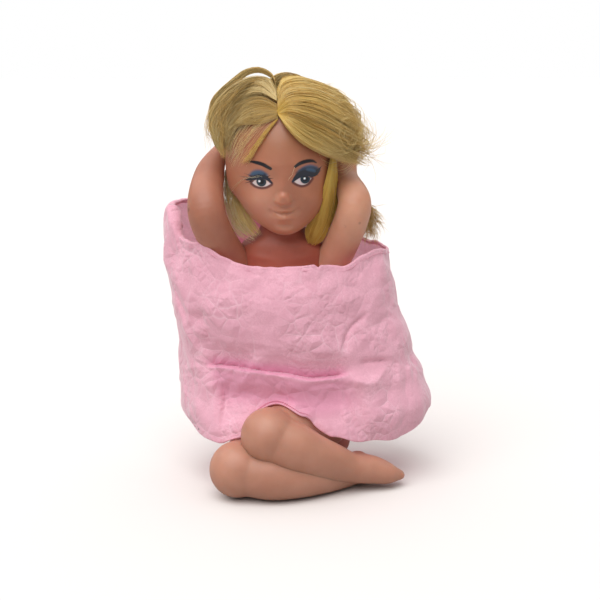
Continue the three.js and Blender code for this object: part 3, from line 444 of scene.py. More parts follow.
def crumpled_tissue(name, dyes, crease):
    """Dyed wrapping paper, crumpled and smoothed out again: matte, mottled where the pulp varies, in facets
    that meet at sharp folds of three sizes, with a paler line where a fold broke the dye, and painted shade,
    deeper in colour, over the lap panel and along the edge of its fold. Light passes through to its inner
    side."""
    material, tree = new_material(name)
    place = node(tree, "ShaderNodeTexCoord").outputs["Object"]
    colour = linear(dyes["shade"])
    for size, detail, low, high, most, over in PULP:
        pulp = node(tree, "ShaderNodeTexNoise", {
            "Vector": place, "Scale": per_mm(size), "Detail": detail, "Roughness": 0.6})
        cover = node(tree, "ShaderNodeMapRange", {
            "Value": pulp.outputs["Fac"], "From Min": low, "From Max": high, "To Max": most})
        colour = node(tree, "ShaderNodeMix", {
            "Factor": cover.outputs["Result"], "A": colour, "B": linear(dyes[over])},
            data_type="RGBA").outputs[2]
    normal = {}
    for cell, depth, patch, pale in CREASES:
        drift, patchy = (node(tree, "ShaderNodeTexNoise", {
            "Vector": place, "Scale": per_mm(size), "Detail": 1.0, "Roughness": 0.6})
            for size in (1.6 * cell, patch))
        drifted = node(tree, "ShaderNodeVectorMath", {
            0: drift.outputs["Color"], 1: (0.35 * cell * MM,) * 3, 2: place}, operation="MULTIPLY_ADD")
        folds = node(tree, "ShaderNodeTexVoronoi", {
            "Vector": drifted.outputs[0], "Scale": per_mm(cell)}, feature="DISTANCE_TO_EDGE")
        folds = folds.outputs["Distance"]
        where = node(tree, "ShaderNodeMapRange", {
            "Value": patchy.outputs["Fac"], "From Min": 0.43, "From Max": 0.62, "To Min": 0.1})
        where = where.outputs["Result"]
        bump = node(tree, "ShaderNodeBump", {
            "Height": folds, "Strength": where, "Distance": depth * MM, **normal})
        normal = {"Normal": bump.outputs["Normal"]}
        line = node(tree, "ShaderNodeMapRange", {
            "Value": folds, "From Max": FOLD_WIDTH / cell, "To Min": pale, "To Max": 0.0})
        line = node(tree, "ShaderNodeMath", {0: line.outputs["Result"], 1: where}, operation="MULTIPLY")
        colour = node(tree, "ShaderNodeMix", {
            "Factor": line.outputs[0], "A": colour, "B": linear(crease)}, data_type="RGBA").outputs[2]
    # painted shade over the lap panel, then a real dark speck
    for mark in ("painted_lap_shade", "speck"):
        share = node(tree, "ShaderNodeAttribute", attribute_name=mark).outputs["Fac"]
        colour = node(tree, "ShaderNodeMix", {
            "Factor": share, "A": colour, "B": linear(dyes[mark])}, data_type="RGBA").outputs[2]
    front = node(tree, "ShaderNodeBsdfPrincipled", {
        "Base Color": colour, "Roughness": 0.75, "IOR": 1.45, "Specular IOR Level": 0.4,
        "Sheen Weight": 0.5, "Sheen Roughness": 0.5, **normal})
    through = node(tree, "ShaderNodeBsdfTranslucent", {"Color": linear(dyes["tone"]), **normal})
    inner = node(tree, "ShaderNodeNewGeometry").outputs["Backfacing"]
    share = node(tree, "ShaderNodeMapRange", {"Value": inner, "To Min": 0.1, "To Max": 0.45})
    both = node(tree, "ShaderNodeMixShader", {
        0: share.outputs["Result"], 1: front.outputs[0], 2: through.outputs[0]})
    node(tree, "ShaderNodeOutputMaterial", {"Surface": both.outputs[0]})
    return material


VINYL = cast_vinyl("cast_vinyl_legs", "#c18b74", "#b37d66")
# The arms are one vinyl in two tones: the doll's left arm lighter, painted light, and its right arm darker,
# painted shade, for light falling unevenly on them. Their round marks are real dirt.
ARM_VINYL = {
    "right_arm": cast_vinyl("cast_vinyl_right_arm_painted_shade", "#b57a62", "#a86d56", marks=[(-34.0, -10.0, 88.5, 0.9)]),
    "left_arm": cast_vinyl("cast_vinyl_left_arm_painted_light", "#d7a084", "#ca9277",
                           marks=[(18.7, -9.5, 84.0, 0.9), (18.5, -9.0, 80.0, 0.6)]),
}
# The torso's vinyl is darker and redder than the limbs': painted shade for the shade and pink bounce between
# the head, the arms and the paper.
TORSO_VINYL = cast_vinyl("cast_vinyl_torso_painted_shade", "#b1604a", "#a1543f")
# The head's vinyl is darker than the legs': painted shade for the hair's shadow over the face. Its paint
# layer also carries painted light and shade.
FACE_VINYL = cast_vinyl("cast_vinyl_head_paint_and_painted_light_shade", "#b97a5e", "#aa6c51", painted=True)
FIBRE = drawn_fibre("drawn_blond_fibre", ("#d9c58a", "#fff6d4"), ("#e0aa36", "#ffe27a"))
# The lap dye is painted shade under the chest panel's overhang; the speck is a real dark fleck.
PAPER_DYES = {"tone": "#f9c0d1", "shade": "#e4a7b9", "painted_lap_shade": "#e293b2", "speck": "#1c1414"}
PAPER = crumpled_tissue("crumpled_pink_tissue", PAPER_DYES, "#ffe2ea")


# Face: relief and paint, both as functions of a place on the face in millimetres from the head's centre

def mound(u, v, at, size, height):
    """A rounded rise: height x exp(-(du/width)^2 - (dv/tall)^2)."""
    return height * np.exp(-((u - at[0]) / size[0]) ** 2 - ((v - at[1]) / size[1]) ** 2)


def face_relief(u, v):
    """How far each place on the face stands forward of the head's oval: nose, muzzle and chin, both lips, the
    hollows under and over them and the line of the mouth, then on each side a nostril, the eye in its socket,
    the brow, the cheek and the corner of the mouth."""
    middle = u + 0.5
    base = smooth_step(v - 0.08 * middle**2, -12.3, -10.6)
    tip = ((middle / 2.3) ** 2 + ((v + 9.7) / 2.1) ** 2) ** 1.9
    rise = base * (1.5 * np.exp(-tip) + mound(middle, v, (0, -6.0), (1.9, 3.0), 0.5))
    rise += mound(u, v, (0, -17.0), (8.0, 5.0), 1.1) + mound(middle, v, (0, -19.6), (4.0, 2.4), 1.4)
    rise += mound(middle, v, (0, -12.9), (2.8, 0.7), 0.5) + mound(middle, v, (0, -15.2), (2.4, 0.9), 1.2)
    rise -= mound(middle, v, (0, -17.3), (2.8, 0.8), 0.8) + mound(middle, v, (0, -11.9), (0.6, 0.6), 0.1)
    line = v + 14.0 - 0.065 * middle**2 - 0.25 * np.exp(-(middle / 0.7) ** 2)
    rise -= 0.5 * np.exp(-(line / 0.38) ** 2) * smooth_step(4.6 - np.abs(middle), 0, 2.4)
    for side in (-1, 1):
        rise += base * mound(middle, v, (side * 1.9, -10.2), (0.8, 0.8), 0.4)
        rise += (mound(u, v, (side * 6.3, -4.4), (2.6, 1.7), 0.45)
                 - mound(u, v, (side * 6.3, -3.4), (3.9, 2.6), 0.95))
        rise += (mound(u, v, (side * 6.0, 1.2), (4.0, 1.5), 0.35)
                 + mound(u, v, (side * 7.4, -10.4), (3.8, 3.2), 0.9))
        rise -= mound(middle, v, (side * 4.3, -13.3), (0.8, 0.8), 0.45)
    return rise


def stroke(u, v, points, edge=0.1):
    """How much a brush stroke covers: 1 inside, 0 outside, eased over the edge. Points are (u, v, half
    width), and a place is inside where it lies nearer to the line than the half width there."""
    line = smooth_line(points, np.linspace(0, 1, 26))
    nearest = np.full(u.shape, 1e3)
    for start, end in zip(line[:-1], line[1:]):
        run = end - start
        t = np.clip(((u - start[0]) * run[0] + (v - start[1]) * run[1]) / (run[:2] @ run[:2] + 1e-9), 0, 1)
        off = np.hypot(u - start[0] - t * run[0], v - start[1] - t * run[1]) - (start[2] + t * run[2])
        nearest = np.minimum(nearest, off)
    return smooth_step(-nearest, -edge, edge)


def between(u, v, upper, lower, edge=0.1):
    """How much the patch between two lines covers, each line a list of (u, v) with u rising."""
    top = smooth_line(upper, np.linspace(0, 1, 60))
    bottom = smooth_line(lower, np.linspace(0, 1, 60))
    inside = np.minimum(np.interp(u, top[:, 0], top[:, 1]) - v,
                        v - np.interp(u, bottom[:, 0], bottom[:, 1]))
    inside = np.minimum(inside, np.minimum(u - top[0, 0], top[-1, 0] - u))
    return smooth_step(inside, -edge, edge)


def disc(u, v, at, radius, edge=0.1):
    """How much a round dab covers: 1 inside its radius, 0 outside, eased over the edge."""
    return smooth_step(radius - np.hypot(u - at[0], v - at[1]), -edge, edge)


# Paints of the face
EYE_WHITE = "#d8c6c6"
IRIS_BLUE = "#2c4352"
IRIS_RIM = "#101a26"
INK = "#15141b"
LID_INK = "#171d30"
LID_BROWN = "#5a2a2a"
SHADOW_BLUE = "#3c5f80"
SHADOW_NAVY = "#16243f"
GLINT = "#ffffff"

FACE_PAINTED_LIGHT_AND_SHADE = (  # painted light and shade on the face: a lighter cheek on the doll's right and a lighter chin, a darker forehead under the hair and a darker side to the doll's left; colour, strength, centre and half sizes
    ("#d4977e", 0.85, (-8.0, -12.5), (7.5, 8.0)),
    ("#cf8f74", 0.5, (1.0, -18.5), (7.0, 4.5)),
    ("#a66f4d", 0.7, (0.0, 9.0), (10.0, 5.5)),
    ("#b8714b", 0.6, (11.5, -8.0), (5.0, 9.0)),
)

# The doll's right eye, on the viewer's left, then its left eye: places in millimetres on the face
EYES = (
    dict(upper=[(-9.5, -4.3), (-8.7, -3.5), (-7.3, -3.0), (-5.8, -3.3), (-4.1, -4.5)],
         lower=[(-9.5, -4.4), (-8.6, -5.1), (-7.1, -5.5), (-5.5, -5.3), (-4.1, -4.6)],
         iris=(-6.9, -3.9), glint=(-7.5, -3.8),
         lid=[(-11.0, -3.5, 0.25), (-9.5, -3.1, 0.6), (-7.4, -2.4, 0.75), (-5.5, -2.7, 0.65),
              (-3.7, -4.3, 0.25)],
         shade=[(-10.0, -2.1, 0.4), (-8.8, -1.3, 0.8), (-7.0, -1.1, 0.8), (-5.4, -1.9, 0.6)],
         wing=[(-9.6, -2.5, 0.4), (-8.0, -1.8, 0.6), (-5.8, -1.9, 0.55)],
         sheen=[(-9.2, -1.7, 0.3), (-7.6, -1.3, 0.4), (-6.4, -1.5, 0.3)],
         lashes=[((-9.6, -3.0), (-12.8, -2.5)), ((-9.8, -3.4), (-12.2, -3.5)),
                 ((-9.9, -3.9), (-11.5, -4.6)), ((-9.0, -2.6), (-11.6, -1.5)),
                 ((-4.6, -3.0), (-3.2, -2.9)), ((-5.2, -2.5), (-4.0, -2.0))]),
    dict(upper=[(3.0, -4.2), (4.2, -3.2), (5.7, -2.8), (7.0, -3.0), (8.2, -3.8)],
         lower=[(3.0, -4.3), (4.0, -5.0), (5.4, -5.5), (6.9, -5.2), (8.2, -3.9)],
         iris=(6.4, -3.7), glint=(6.2, -3.6),
         lid=[(2.6, -4.2, 0.3), (3.9, -2.9, 0.75), (5.6, -2.1, 0.95), (7.4, -2.1, 1.05), (9.0, -2.4, 1.05),
              (10.2, -2.0, 0.65), (11.3, -0.8, 0.1)],
         shade=[(5.0, -1.2, 0.6), (6.4, -0.7, 0.9), (8.0, -0.5, 1.0), (9.6, -1.0, 0.8)],
         wing=[(4.3, -1.9, 0.7), (6.4, -1.2, 1.0), (8.8, -1.3, 1.0), (10.2, -1.4, 0.6)],
         sheen=[(7.2, -0.9, 0.35), (8.4, -1.2, 0.5), (9.4, -1.7, 0.35)],
         lashes=[((9.4, -2.6), (11.4, -1.9)), ((10.0, -1.6), (11.9, -0.4)), ((9.0, -3.0), (10.4, -3.1))]),
)
BROWS = (
    [(-10.0, 2.2, 0.2), (-8.4, 2.0, 0.5), (-6.2, 1.4, 0.6), (-3.9, 0.1, 0.5)],
    [(3.6, 0.3, 0.4), (4.9, 1.1, 0.55), (6.9, 1.6, 0.58), (8.8, 1.5, 0.46), (10.0, 0.8, 0.2)],
)


def face_paint(u, v):
    """Colour and cover of the paint at each place, each layer laid over those before it; the first layers are
    painted light and painted shade, under the eyes and brows.
    """
    colour = np.zeros(u.shape + (3,))
    cover = np.zeros(u.shape)

    def lay(code, amount):
        nonlocal colour, cover
        amount = np.clip(amount, 0, 1)
        total = amount + cover * (1 - amount)
        share = np.divide(amount, total, out=np.zeros_like(amount), where=total > 1e-6)[..., None]
        colour = colour * (1 - share) + np.array(linear(code)[:3]) * share
        cover = total

    # painted light on the doll's right cheek and chin, painted shade on the forehead and the doll's left side
    for code, amount, at, size in FACE_PAINTED_LIGHT_AND_SHADE:
        lay(code, mound(u, v, at, size, amount))
    for eye, brow in zip(EYES, BROWS):
        white = between(u, v, eye["upper"], eye["lower"])
        lay(SHADOW_BLUE, 0.95 * stroke(u, v, eye["shade"], edge=0.55))
        lay(SHADOW_NAVY, 0.85 * stroke(u, v, eye["wing"], edge=0.5))
        lay(LID_BROWN, 0.9 * stroke(u, v, [(*p, 0.75) for p in eye["lower"]], edge=0.25))
        lay(EYE_WHITE, white)
        lay(IRIS_RIM, white * disc(u, v, eye["iris"], 1.5))
        lay(IRIS_BLUE, 0.9 * white * disc(u, v, eye["iris"], 1.2, edge=0.25))
        lay(INK, white * disc(u, v, eye["iris"], 0.9, edge=0.2))
        lay(LID_INK, stroke(u, v, eye["lid"]))
        lay(SHADOW_BLUE, 0.75 * stroke(u, v, eye["sheen"], edge=0.35))
        for root, tip in eye["lashes"]:
            lay(INK, stroke(u, v, [(*root, 0.2), (*tip, 0.03)], edge=0.08))
        lay(GLINT, disc(u, v, eye["glint"], 0.32))
        lay(INK, stroke(u, v, brow))
    return np.concatenate([colour, cover[..., None]], -1)


def head():
    """The head's oval, its face standing forward by the relief. Rows and columns crowd toward the eyes."""
    def spread(count, crowd):
        s = np.linspace(-1, 1, count)
        return crowd * s + (1 - crowd) * s**3

    rows, columns = 251, 340
    azimuth = 180 * spread(columns + 1, 0.36)[None, :-1]
    low = spread(rows, 0.4)
    elevation = np.where(low < 0, -12 + 78 * low, -12 + 102 * low)[:, None]
    d = direction(azimuth + 0 * elevation, elevation + 0 * azimuth)
    from_centre = d * HEAD_HALF
    roll = math.radians(FACE_ROLL)
    u = from_centre[..., 0] * math.cos(roll) + from_centre[..., 2] * math.sin(roll)
    v = from_centre[..., 2] * math.cos(roll) - from_centre[..., 0] * math.sin(roll)
    front = smooth_step(-from_centre[..., 1], 1.5, 7.0)
    points = HEAD_CENTRE + from_centre
    points[..., 0] -= temple(from_centre)
    points[..., 2] -= 1.3 * front * smooth_step(-v, 11, 21) * np.exp(-((u / 10) ** 2))
    points[..., 1] -= front * face_relief(u, v)
    cheeks = JOWL * np.sign(u) * smooth_step(np.abs(u), 5, 10) * np.exp(-(((v + 13.5) / 5) ** 2))
    points[..., 0] += cheeks * smooth_step(-from_centre[..., 1], -2, 6)
    at_neck = np.hypot(points[..., 0] - NECK[0], points[..., 1] - NECK[1]) < NECK_RADIUS + JOINT_GAP
    sunk = at_neck & (points[..., 2] < HEAD_CENTRE[2])
    points[..., 2] = np.where(sunk, np.maximum(points[..., 2], HEAD_SEAT + JOINT_GAP), points[..., 2])
    made = piece("head_cast", points.reshape(-1, 3), grid_faces(rows, columns, True), FACE_VINYL)
    paint = face_paint(u, v) * (front > 0.01)[..., None]
    store(made, "paint", paint.reshape(-1, 4))
    return made


# Hair: families of guide lines, each of (x, y, z, half thickness) in millimetres from the head's centre

def near(azimuth, elevation, lift, thick):
    """One point of a guide line, over the scalp in a direction."""
    return (*(scalp(azimuth, elevation, lift) - HEAD_CENTRE), thick)


def back_guide(azimuth):
    """From the crown down the back of the head to the nape, where the line hangs clear of the neck."""
    x, y, _ = direction(azimuth, 0)
    return [near(azimuth, 84, 1, 0.6), near(azimuth, 62, 1.6, 1), near(azimuth, 38, 1.7, 1.1),
            near(azimuth, 12, 1.7, 1.1), near(azimuth, -14, 1.9, 1.2),
            (18.6 * x, 19.6 * y, -13, 1.2), (17.5 * x, 19 * y, -18, 0.8)]


FAN = (  # from the hairline of the doll's left brow, up over the crown
    [(-1.5, -14, 15.5, 0.3), (1, -17.5, 12.5, 0.6), (5, -18, 8.5, 0.9), (10.5, -16, 5, 1.1),
     (16, -12, 2.5, 1.4), (25.5, -4.5, -2.5, 1.4)],
    [(-1.5, -14, 15.8, 0.3), (2.5, -17, 15, 1), (8.5, -16.5, 12, 1.5), (15.5, -13, 8, 1.8),
     (21, -8, 4.5, 2), (34, 0, -4, 1.8)],
    [(-1.5, -13.5, 16.2, 0.4), (2.5, -15.5, 18.5, 1.2), (9, -14.5, 17.5, 1.8), (16.5, -11.5, 13.5, 2),
     (22.5, -7, 9.5, 2.2), (35, 0, 0, 2)],
    [(-1.6, -12.5, 17.4, 0.5), (1, -11.5, 21, 1.2), (7.5, -10.5, 21.5, 1.6), (15, -8.5, 18.5, 1.8),
     (21.5, -4, 14, 2), (33.5, 1.5, 4, 1.8)],
    [(-1.8, -9.5, 19.5, 0.5), (0, -6, 24, 0.9), (5.5, -3, 25, 1.1), (12.5, -1, 23, 1.3),
     (18.5, -1.5, 20, 1.5), (27, 1, 11.5, 1.4)],
    [(-2, -4.5, 22.3, 0.5), (0, 0.5, 25.6, 0.8), (5, 3, 25.4, 1), (12, 5, 21.8, 1.2), (17, 6, 16, 1.3),
     (20, 6, 10.5, 1.1)],
)
VEIL = (  # sparse over the temple on the doll's right, with a denser golden edge
    [(-1.6, -14.5, 14.5, 0.25), (-4.5, -15.5, 11, 0.4), (-7.5, -16, 6.5, 0.5), (-10, -15, 3, 0.6),
     (-12.5, -13, 0.5, 0.6)],
    [(-1.7, -14.3, 15, 0.25), (-6, -13.7, 13.5, 0.4), (-9.5, -13, 10, 0.5), (-12.5, -12, 6, 0.5),
     (-14.5, -10.5, 2.5, 0.6), (-16.5, -8, -1, 0.6)],
    [(-1.8, -13, 17, 0.3), (-7, -9, 18, 0.4), (-12, -7, 16, 0.6), (-15.5, -7, 11.5, 0.8),
     (-17.5, -7, 7, 0.8), (-18.5, -7, 1.5, 0.8)],
    [(-2, -11.5, 18.6, 0.4), (-7, -8, 20.5, 0.6), (-12, -6, 19, 0.8), (-16, -6, 15.5, 0.9),
     (-18, -7.5, 11, 0.9), (-19, -8.5, 6, 0.8)],
)
TEMPLE = (  # thin over the top of the doll's right temple
    [(-1.8, -14, 15.5, 0.3), (-6, -13.5, 13.3, 0.4), (-11.7, -10, 12.5, 0.5), (-16.3, -7, 11.5, 0.6),
     (-18.2, -7.5, 7, 0.6)],
    VEIL[2],
)
SWEEP = (  # carried off the parting to the doll's right and down beside the face
    [(-2, -10.5, 19.5, 0.4), (-7, -7, 21.5, 0.8), (-12, -5.5, 20, 1), (-16, -6, 17, 1.1),
     (-18.5, -7, 13.5, 1.1), (-19.5, -8, 9, 0.9), (-19, -9, 4.5, 0.6)],
    [(-2, -9.5, 20.5, 0.5), (-6.5, -5, 24, 0.9), (-11.5, -4, 23.8, 1.1), (-16, -5.5, 21, 1.2),
     (-19.5, -7, 16.5, 1.2), (-21, -8, 12, 1), (-20.5, -9, 7.5, 0.8), (-19, -10, 4, 0.6)],
    [(-2.2, -7.5, 21.8, 0.5), (-4.5, -3, 25, 0.7), (-8, -4, 25.9, 0.7), (-12, -6, 24.9, 0.8),
     (-16, -7, 22.5, 1), (-20, -7, 18.5, 1), (-21.8, -7, 14, 0.9), (-21.5, -8, 10, 0.8),
     (-20.5, -9, 6, 0.6)],
)
HANG = (  # thin ends that hang beside the temple
    [(-18.5, -7.5, 12.5, 0.4), (-19, -9, 8, 0.5), (-19, -10.5, 5, 0.5), (-18, -11, 2, 0.5)],
)
LOOP = (  # two arcs that stand clear of the crown
    [(-2, -6.5, 22, 0.3), (-4.2, -3, 25.3, 0.3), (-8, -3.5, 26.3, 0.3), (-12, -4.5, 25.8, 0.4),
     (-15.5, -5.5, 23.8, 0.5), (-19, -6.5, 20.3, 0.7), (-22, -6.5, 16, 0.7)],
    [(-2, -4, 22, 0.5), (-3.5, 0, 26.5, 0.6), (-7.5, 0.5, 28.6, 0.7), (-11.5, -1, 28, 0.8),
     (-15, -4, 25.5, 0.9), (-18.5, -5.5, 22.5, 1), (-21, -6, 19.5, 1), (-22, -6, 16, 0.9),
     (-22.3, -7, 12, 0.8), (-21.5, -8, 8.5, 0.6)],
)
STRAY = (  # single pale fibres across the doll's right eye and the bridge of the nose
    [(-16.5, -4, -8, 0.1), (-14.5, -8, -6, 0.1), (-12, -12.2, -3.5, 0.1), (-10, -14.3, -3, 0.1),
     (-7.5, -16.3, -2.3, 0.1), (-5.5, -17.5, -2.5, 0.1)],
    [(-17.5, -3, -10, 0.1), (-15, -7.5, -7, 0.1), (-12, -11.7, -4, 0.1), (-8.7, -15.5, -3, 0.1),
     (-5, -17.7, -2.2, 0.1)],
    [(3.5, -18.6, 0.5, 0.1), (2.6, -18.8, -1.7, 0.1), (1.4, -18.9, -3.7, 0.1)],
)
CROWN_FILL = (  # under the arcs, from the parting over the crown to the doll's right
    [(-2, -7, 21.5, 0.4), (-6, -1, 23.8, 0.8), (-12, 0, 21.5, 1), (-16.5, 1, 16, 1), (-18.5, 2, 9, 1)],
    [(-2, 0, 22.8, 0.4), (-6, 3, 23.5, 0.8), (-11, 5, 20.5, 1), (-15, 7, 15, 1), (-17, 8, 8, 1)],
)
BEHIND_DRAPE = (  # between the drape and the head
    [(-8, -4, 22, 0.6), (-13, -4, 19.5, 0.8), (-16.8, -4, 15.5, 0.8), (-18.6, -4.5, 10.5, 0.8),
     (-19.4, -5.5, 5.5, 0.8)],
)
CROWN_KNOT = (  # a short lock that stands up behind the parting
    [(-5, -3, 21.5, 1), (-4, -1, 23.6, 1.6), (-1, 1.5, 25.6, 1.8), (3.5, 4, 25.4, 1.4), (8, 6, 23, 1)],
)
SIDE_LEFT = (  # a smooth lock over the side of the doll's left cheek that ends in a rounded fall
    [(15.0, -9.5, 4, 0.3), (13.2, -10.8, -5.5, 0.7), (11.6, -9.5, -11.5, 0.9), (9.9, -7, -16.5, 1.4),
     (8, -4.5, -21.5, 1.6), (7.8, -3.5, -25.5, 0.4)],
    [(15.3, -8.5, 4, 0.3), (14.8, -6.5, -5, 1), (14.5, -4, -11, 1.6), (13, -3, -16.5, 2),
     (10.8, -3.5, -21.5, 2), (9, -3.5, -26, 0.5)],
    [(15.5, -7.5, 4, 0.3), (16, -2, -4.5, 1), (17.3, 3, -11, 1.6), (15.6, 1, -17, 1.8),
     (13.2, -1.5, -22, 1.6), (10, -2.5, -25.8, 0.4)],
)
SIDE_RIGHT = (  # a thinner lock between the doll's right cheek and arm
    [(-16.5, 5, -3, 0.6), (-15.8, 3, -7, 0.9), (-14.3, 1, -10.5, 1.1), (-12.8, -0.5, -14, 1.2),
     (-11.3, -2, -17.5, 1.2), (-9, -3, -20.8, 1), (-7.6, -3.5, -22.8, 0.7)],
    [(-18.5, 5, -3, 0.6), (-19.2, 3, -8, 0.9), (-19.4, 1, -12.5, 1.1), (-18.7, -0.5, -16, 1.2),
     (-17.3, -2, -19.5, 1.2), (-14, -3.3, -22.7, 1), (-9.5, -3.8, -24.8, 0.7)],
)
TAIL = (  # frizzy ends that come out behind the doll's left arm
    [(11, 16, -10, 0.8), (16, 13, -14.5, 1.2), (24, 8, -14.5, 1.5), (28.5, 4, -16, 1.8), (32, 1, -19, 2)],
    [(11, 16, -11, 0.8), (16, 13, -17, 1.2), (23, 8, -18, 1.5), (27, 4, -22, 1.8), (29, 1, -28, 2)],
)
BACK = [back_guide(azimuth) for azimuth in (62, 95, 120, 150, 180, 210, 240, 265, 298)]


def curled(paths, rng, mine, tufts, turns, loops, rise):
    """Turns the ends of fibres under, each tuft alike: past a start between 0.74 and 0.9 of the length the
    fibre goes round an arc, its heading being cos(t) ahead + sin(t) aside, where aside points in toward the
    head and up or down by the rise. A share of the tufts go on round into loops."""
    count, steps, _ = paths.shape
    start = (rng.uniform(0.74, 0.9, tufts)[mine] * (steps - 2)).astype(int)
    turn = np.where(rng.random(tufts) < loops, rng.uniform(250, 400, tufts),
                    rng.uniform(*turns, tufts))[mine]
    turn = np.radians(turn + rng.normal(0, 12, count))
    moves = np.diff(paths, axis=1)
    ahead = unit(moves[np.arange(count), start])
    aside = -0.5 * away_from_head(paths[:, -1]) + (0, 0, rise) + 0.35 * rng.normal(0, 1, (tufts, 3))[mine]
    lengthwise = ahead * np.sum(aside * ahead, axis=-1, keepdims=True)
    aside = unit(aside + 0.12 * rng.normal(0, 1, (count, 3)) - lengthwise)
    t = np.clip((np.arange(steps - 1)[None, :] - start[:, None]) / (steps - 2 - start[:, None]), 0, 1)
    angle = (turn[:, None] * t)[..., None]
    arc = unit(ahead[:, None] * np.cos(angle) + aside[:, None] * np.sin(angle))
    moves = np.where(t[..., None] > 0, arc * np.linalg.norm(moves, axis=-1, keepdims=True), moves)
    return np.concatenate([paths[:, :1], paths[:, :1] + np.cumsum(moves, axis=1)], axis=1)


def strands(guides, count, seed, first, last, radius=0.085, wander=0.5, curl=None, loops=0.0, rise=-1.0,
            lengths=(0.82, 1.0), tuft=10, tone=0.5, fall=0.0, warm=(0.5, 0.5), steps=22):
    """Fibres laid between neighbouring guide lines: place = sum of the guides' places x hat weights at the
    fibre's own spot in the family, plus its own depth in the thickness, a slow wander and a crimp shared by
    its tuft. Gives the fibres' paths, tones, warmth and radii."""
    rng = np.random.default_rng(seed)
    tufts = max(5, count // tuft)
    gathered = rng.uniform(first, last, tufts)
    mine = rng.integers(0, tufts, count)
    spot = np.clip(gathered[mine] + rng.normal(0, 0.12, count), min(first, last), max(first, last))
    share = np.linspace(0, 1, steps)[None, :] * rng.uniform(*lengths, (count, 1))
    line = 0
    for place, guide in enumerate(guides):
        line = line + np.maximum(0, 1 - np.abs(spot - place))[:, None, None] * smooth_line(guide, share)
    at, thick = HEAD_CENTRE + line[..., :3], line[..., 3:]
    along = unit(np.gradient(at, axis=1))
    across = unit(np.cross(along, away_from_head(at)))
    out = np.cross(across, along)
    depth = np.clip(rng.normal(0, 0.5, tufts)[mine] + rng.normal(0, 0.4, count), -1, 1)

    def sway():
        turns = share * rng.uniform(0.5, 1.5, (count, 1)) + rng.random((count, 1))
        return (wander * share * np.sin(2 * np.pi * turns))[..., None]

    crimp = 0.3 * wander * share * np.sin(2 * np.pi * (4 * share + rng.random(tufts)[mine][:, None]))
    paths = at + out * (thick * depth[:, None, None] + 0.6 * sway()) + across * (sway() + crimp[..., None])
    if curl:
        paths = curled(paths, rng, mine, tufts, curl, loops, rise)
    tones = tone + 0.2 * rng.normal(0, 1, tufts)[mine] + 0.15 * rng.normal(0, 1, count)
    tones = np.clip(tones[:, None] + fall * share, 0, 1)
    return paths, tones, np.clip(warm[0] + (warm[1] - warm[0]) * share**0.6, 0, 1), np.full(count, radius)


def fibres(paths, tones, warmth, radius, name):
    """Three-sided fibres along paths (count, steps, 3), thinning to a point, each with a tone and radius."""
    count, steps, _ = paths.shape
    along = unit(np.gradient(paths, axis=1))
    across = unit(np.cross(along, away_from_head(paths)))
    out = np.cross(across, along)
    taper = np.minimum(1, (1.02 - np.linspace(0, 1, steps)) * 6)[None, :, None, None]
    taper = taper * radius[:, None, None, None]
    turn = np.radians([90, 210, 330])[None, None, :, None]
    ring = paths[:, :, None] + taper * (across[:, :, None] * np.cos(turn) + out[:, :, None] * np.sin(turn))
    faces = grid_faces(steps, 3, True)
    faces = (faces[None] + (np.arange(count) * steps * 3)[:, None, None]).reshape(-1, 4)
    made = piece(name, ring.reshape(-1, 3), faces, FIBRE)
    store(made, "tone", np.repeat(tones.ravel(), 3))
    store(made, "warmth", np.repeat(warmth.ravel(), 3))
    return made


def clear_of_head(paths, gap=0.15):
    """Moves whatever lies inside the head's oval, with its fuller right temple, out to just above it."""
    half = HEAD_HALF + gap
    from_centre = paths - HEAD_CENTRE
    fuller = temple(from_centre)[..., None] * (1.0, 0, 0)
    level = np.linalg.norm((from_centre + fuller) / half, axis=-1, keepdims=True)
    moved = HEAD_CENTRE + (from_centre + fuller) / np.maximum(level, 1e-6) - fuller
    return np.where(level < 1, moved, paths)


def clear_of_limb(points, stations, share, gap):
    """Moves whatever lies inside a limb, taken as a row of balls, out to just above it."""
    for *centre, half, _ in smooth_line(stations, share):
        away = points - np.array(centre)
        far = np.linalg.norm(away, axis=-1, keepdims=True)
        moved = np.array(centre) + away / np.maximum(far, 1e-6) * (half + gap)
        points = np.where(far < half + gap, moved, points)
    return points


# Paper wrap

WRAP_Z = np.array([14.0, 24.0, 33.0, 41.0, 58.0, 76.0])  # hem, two over the lap, crease, chest and rim
WRAP_REACH = np.array([  # left, right, front and back at each of those heights
    (-36.0, 40.5, -21.0, 29.0),
    (-39.0, 42.6, -22.0, 31.4),
    (-39.6, 40.0, -20.0, 31.7),
    (-39.5, 36.5, -17.8, 31.0),
    (-41.5, 31.0, -18.4, 29.0),
    (-43.3, 29.2, -14.5, 27.0),
])
WRAP_MIDDLE_Y = 5.0
WRAP_RADIUS = 34.0  # mean radius, which turns degrees round into millimetres along the sheet
RIM_HEIGHTS = (  # degrees round from the doll's left, then height
    (0, 73.2), (30, 75), (90, 82), (140, 88.5), (186, 88), (214, 78.8), (266, 70.8), (288, 71.9), (298, 71.2),
    (336, 75.4),
)
HEM_HEIGHTS = (
    (0, 22.3), (30, 16), (90, 11), (140, 13), (180, 21.5), (226, 15.4), (236, 16.7), (257, 26.6), (268, 23.6),
    (282, 17.9), (300, 15.9), (318, 15.4),
)
RIM_ROLL = 0.5
SIDE_ROLL = 1.9  # how much fuller the rim rolls at the doll's right side
SIDE_ROLL_AT = 190.0  # degrees round
SIDE_ROLL_HALF = 22.0
HEM_ROLL = 0.45
RIM_TURNED_IN = 1.0
HEM_TURNED_IN = 0.8
RIM_NOTCH = 290.0  # degrees round, where the rim is nicked
RIM_NOTCH_DEPTH = 0.9
WRAP_START = 96.0  # degrees round to the back, where the sheet's ends lap
WRAP_LAP = 22.0  # degrees
LAP_STEP = 0.7
SHEET_OFF_LEG = 0.9
EDGE_OFF_LEG = 0.35  # of the edges that are turned in
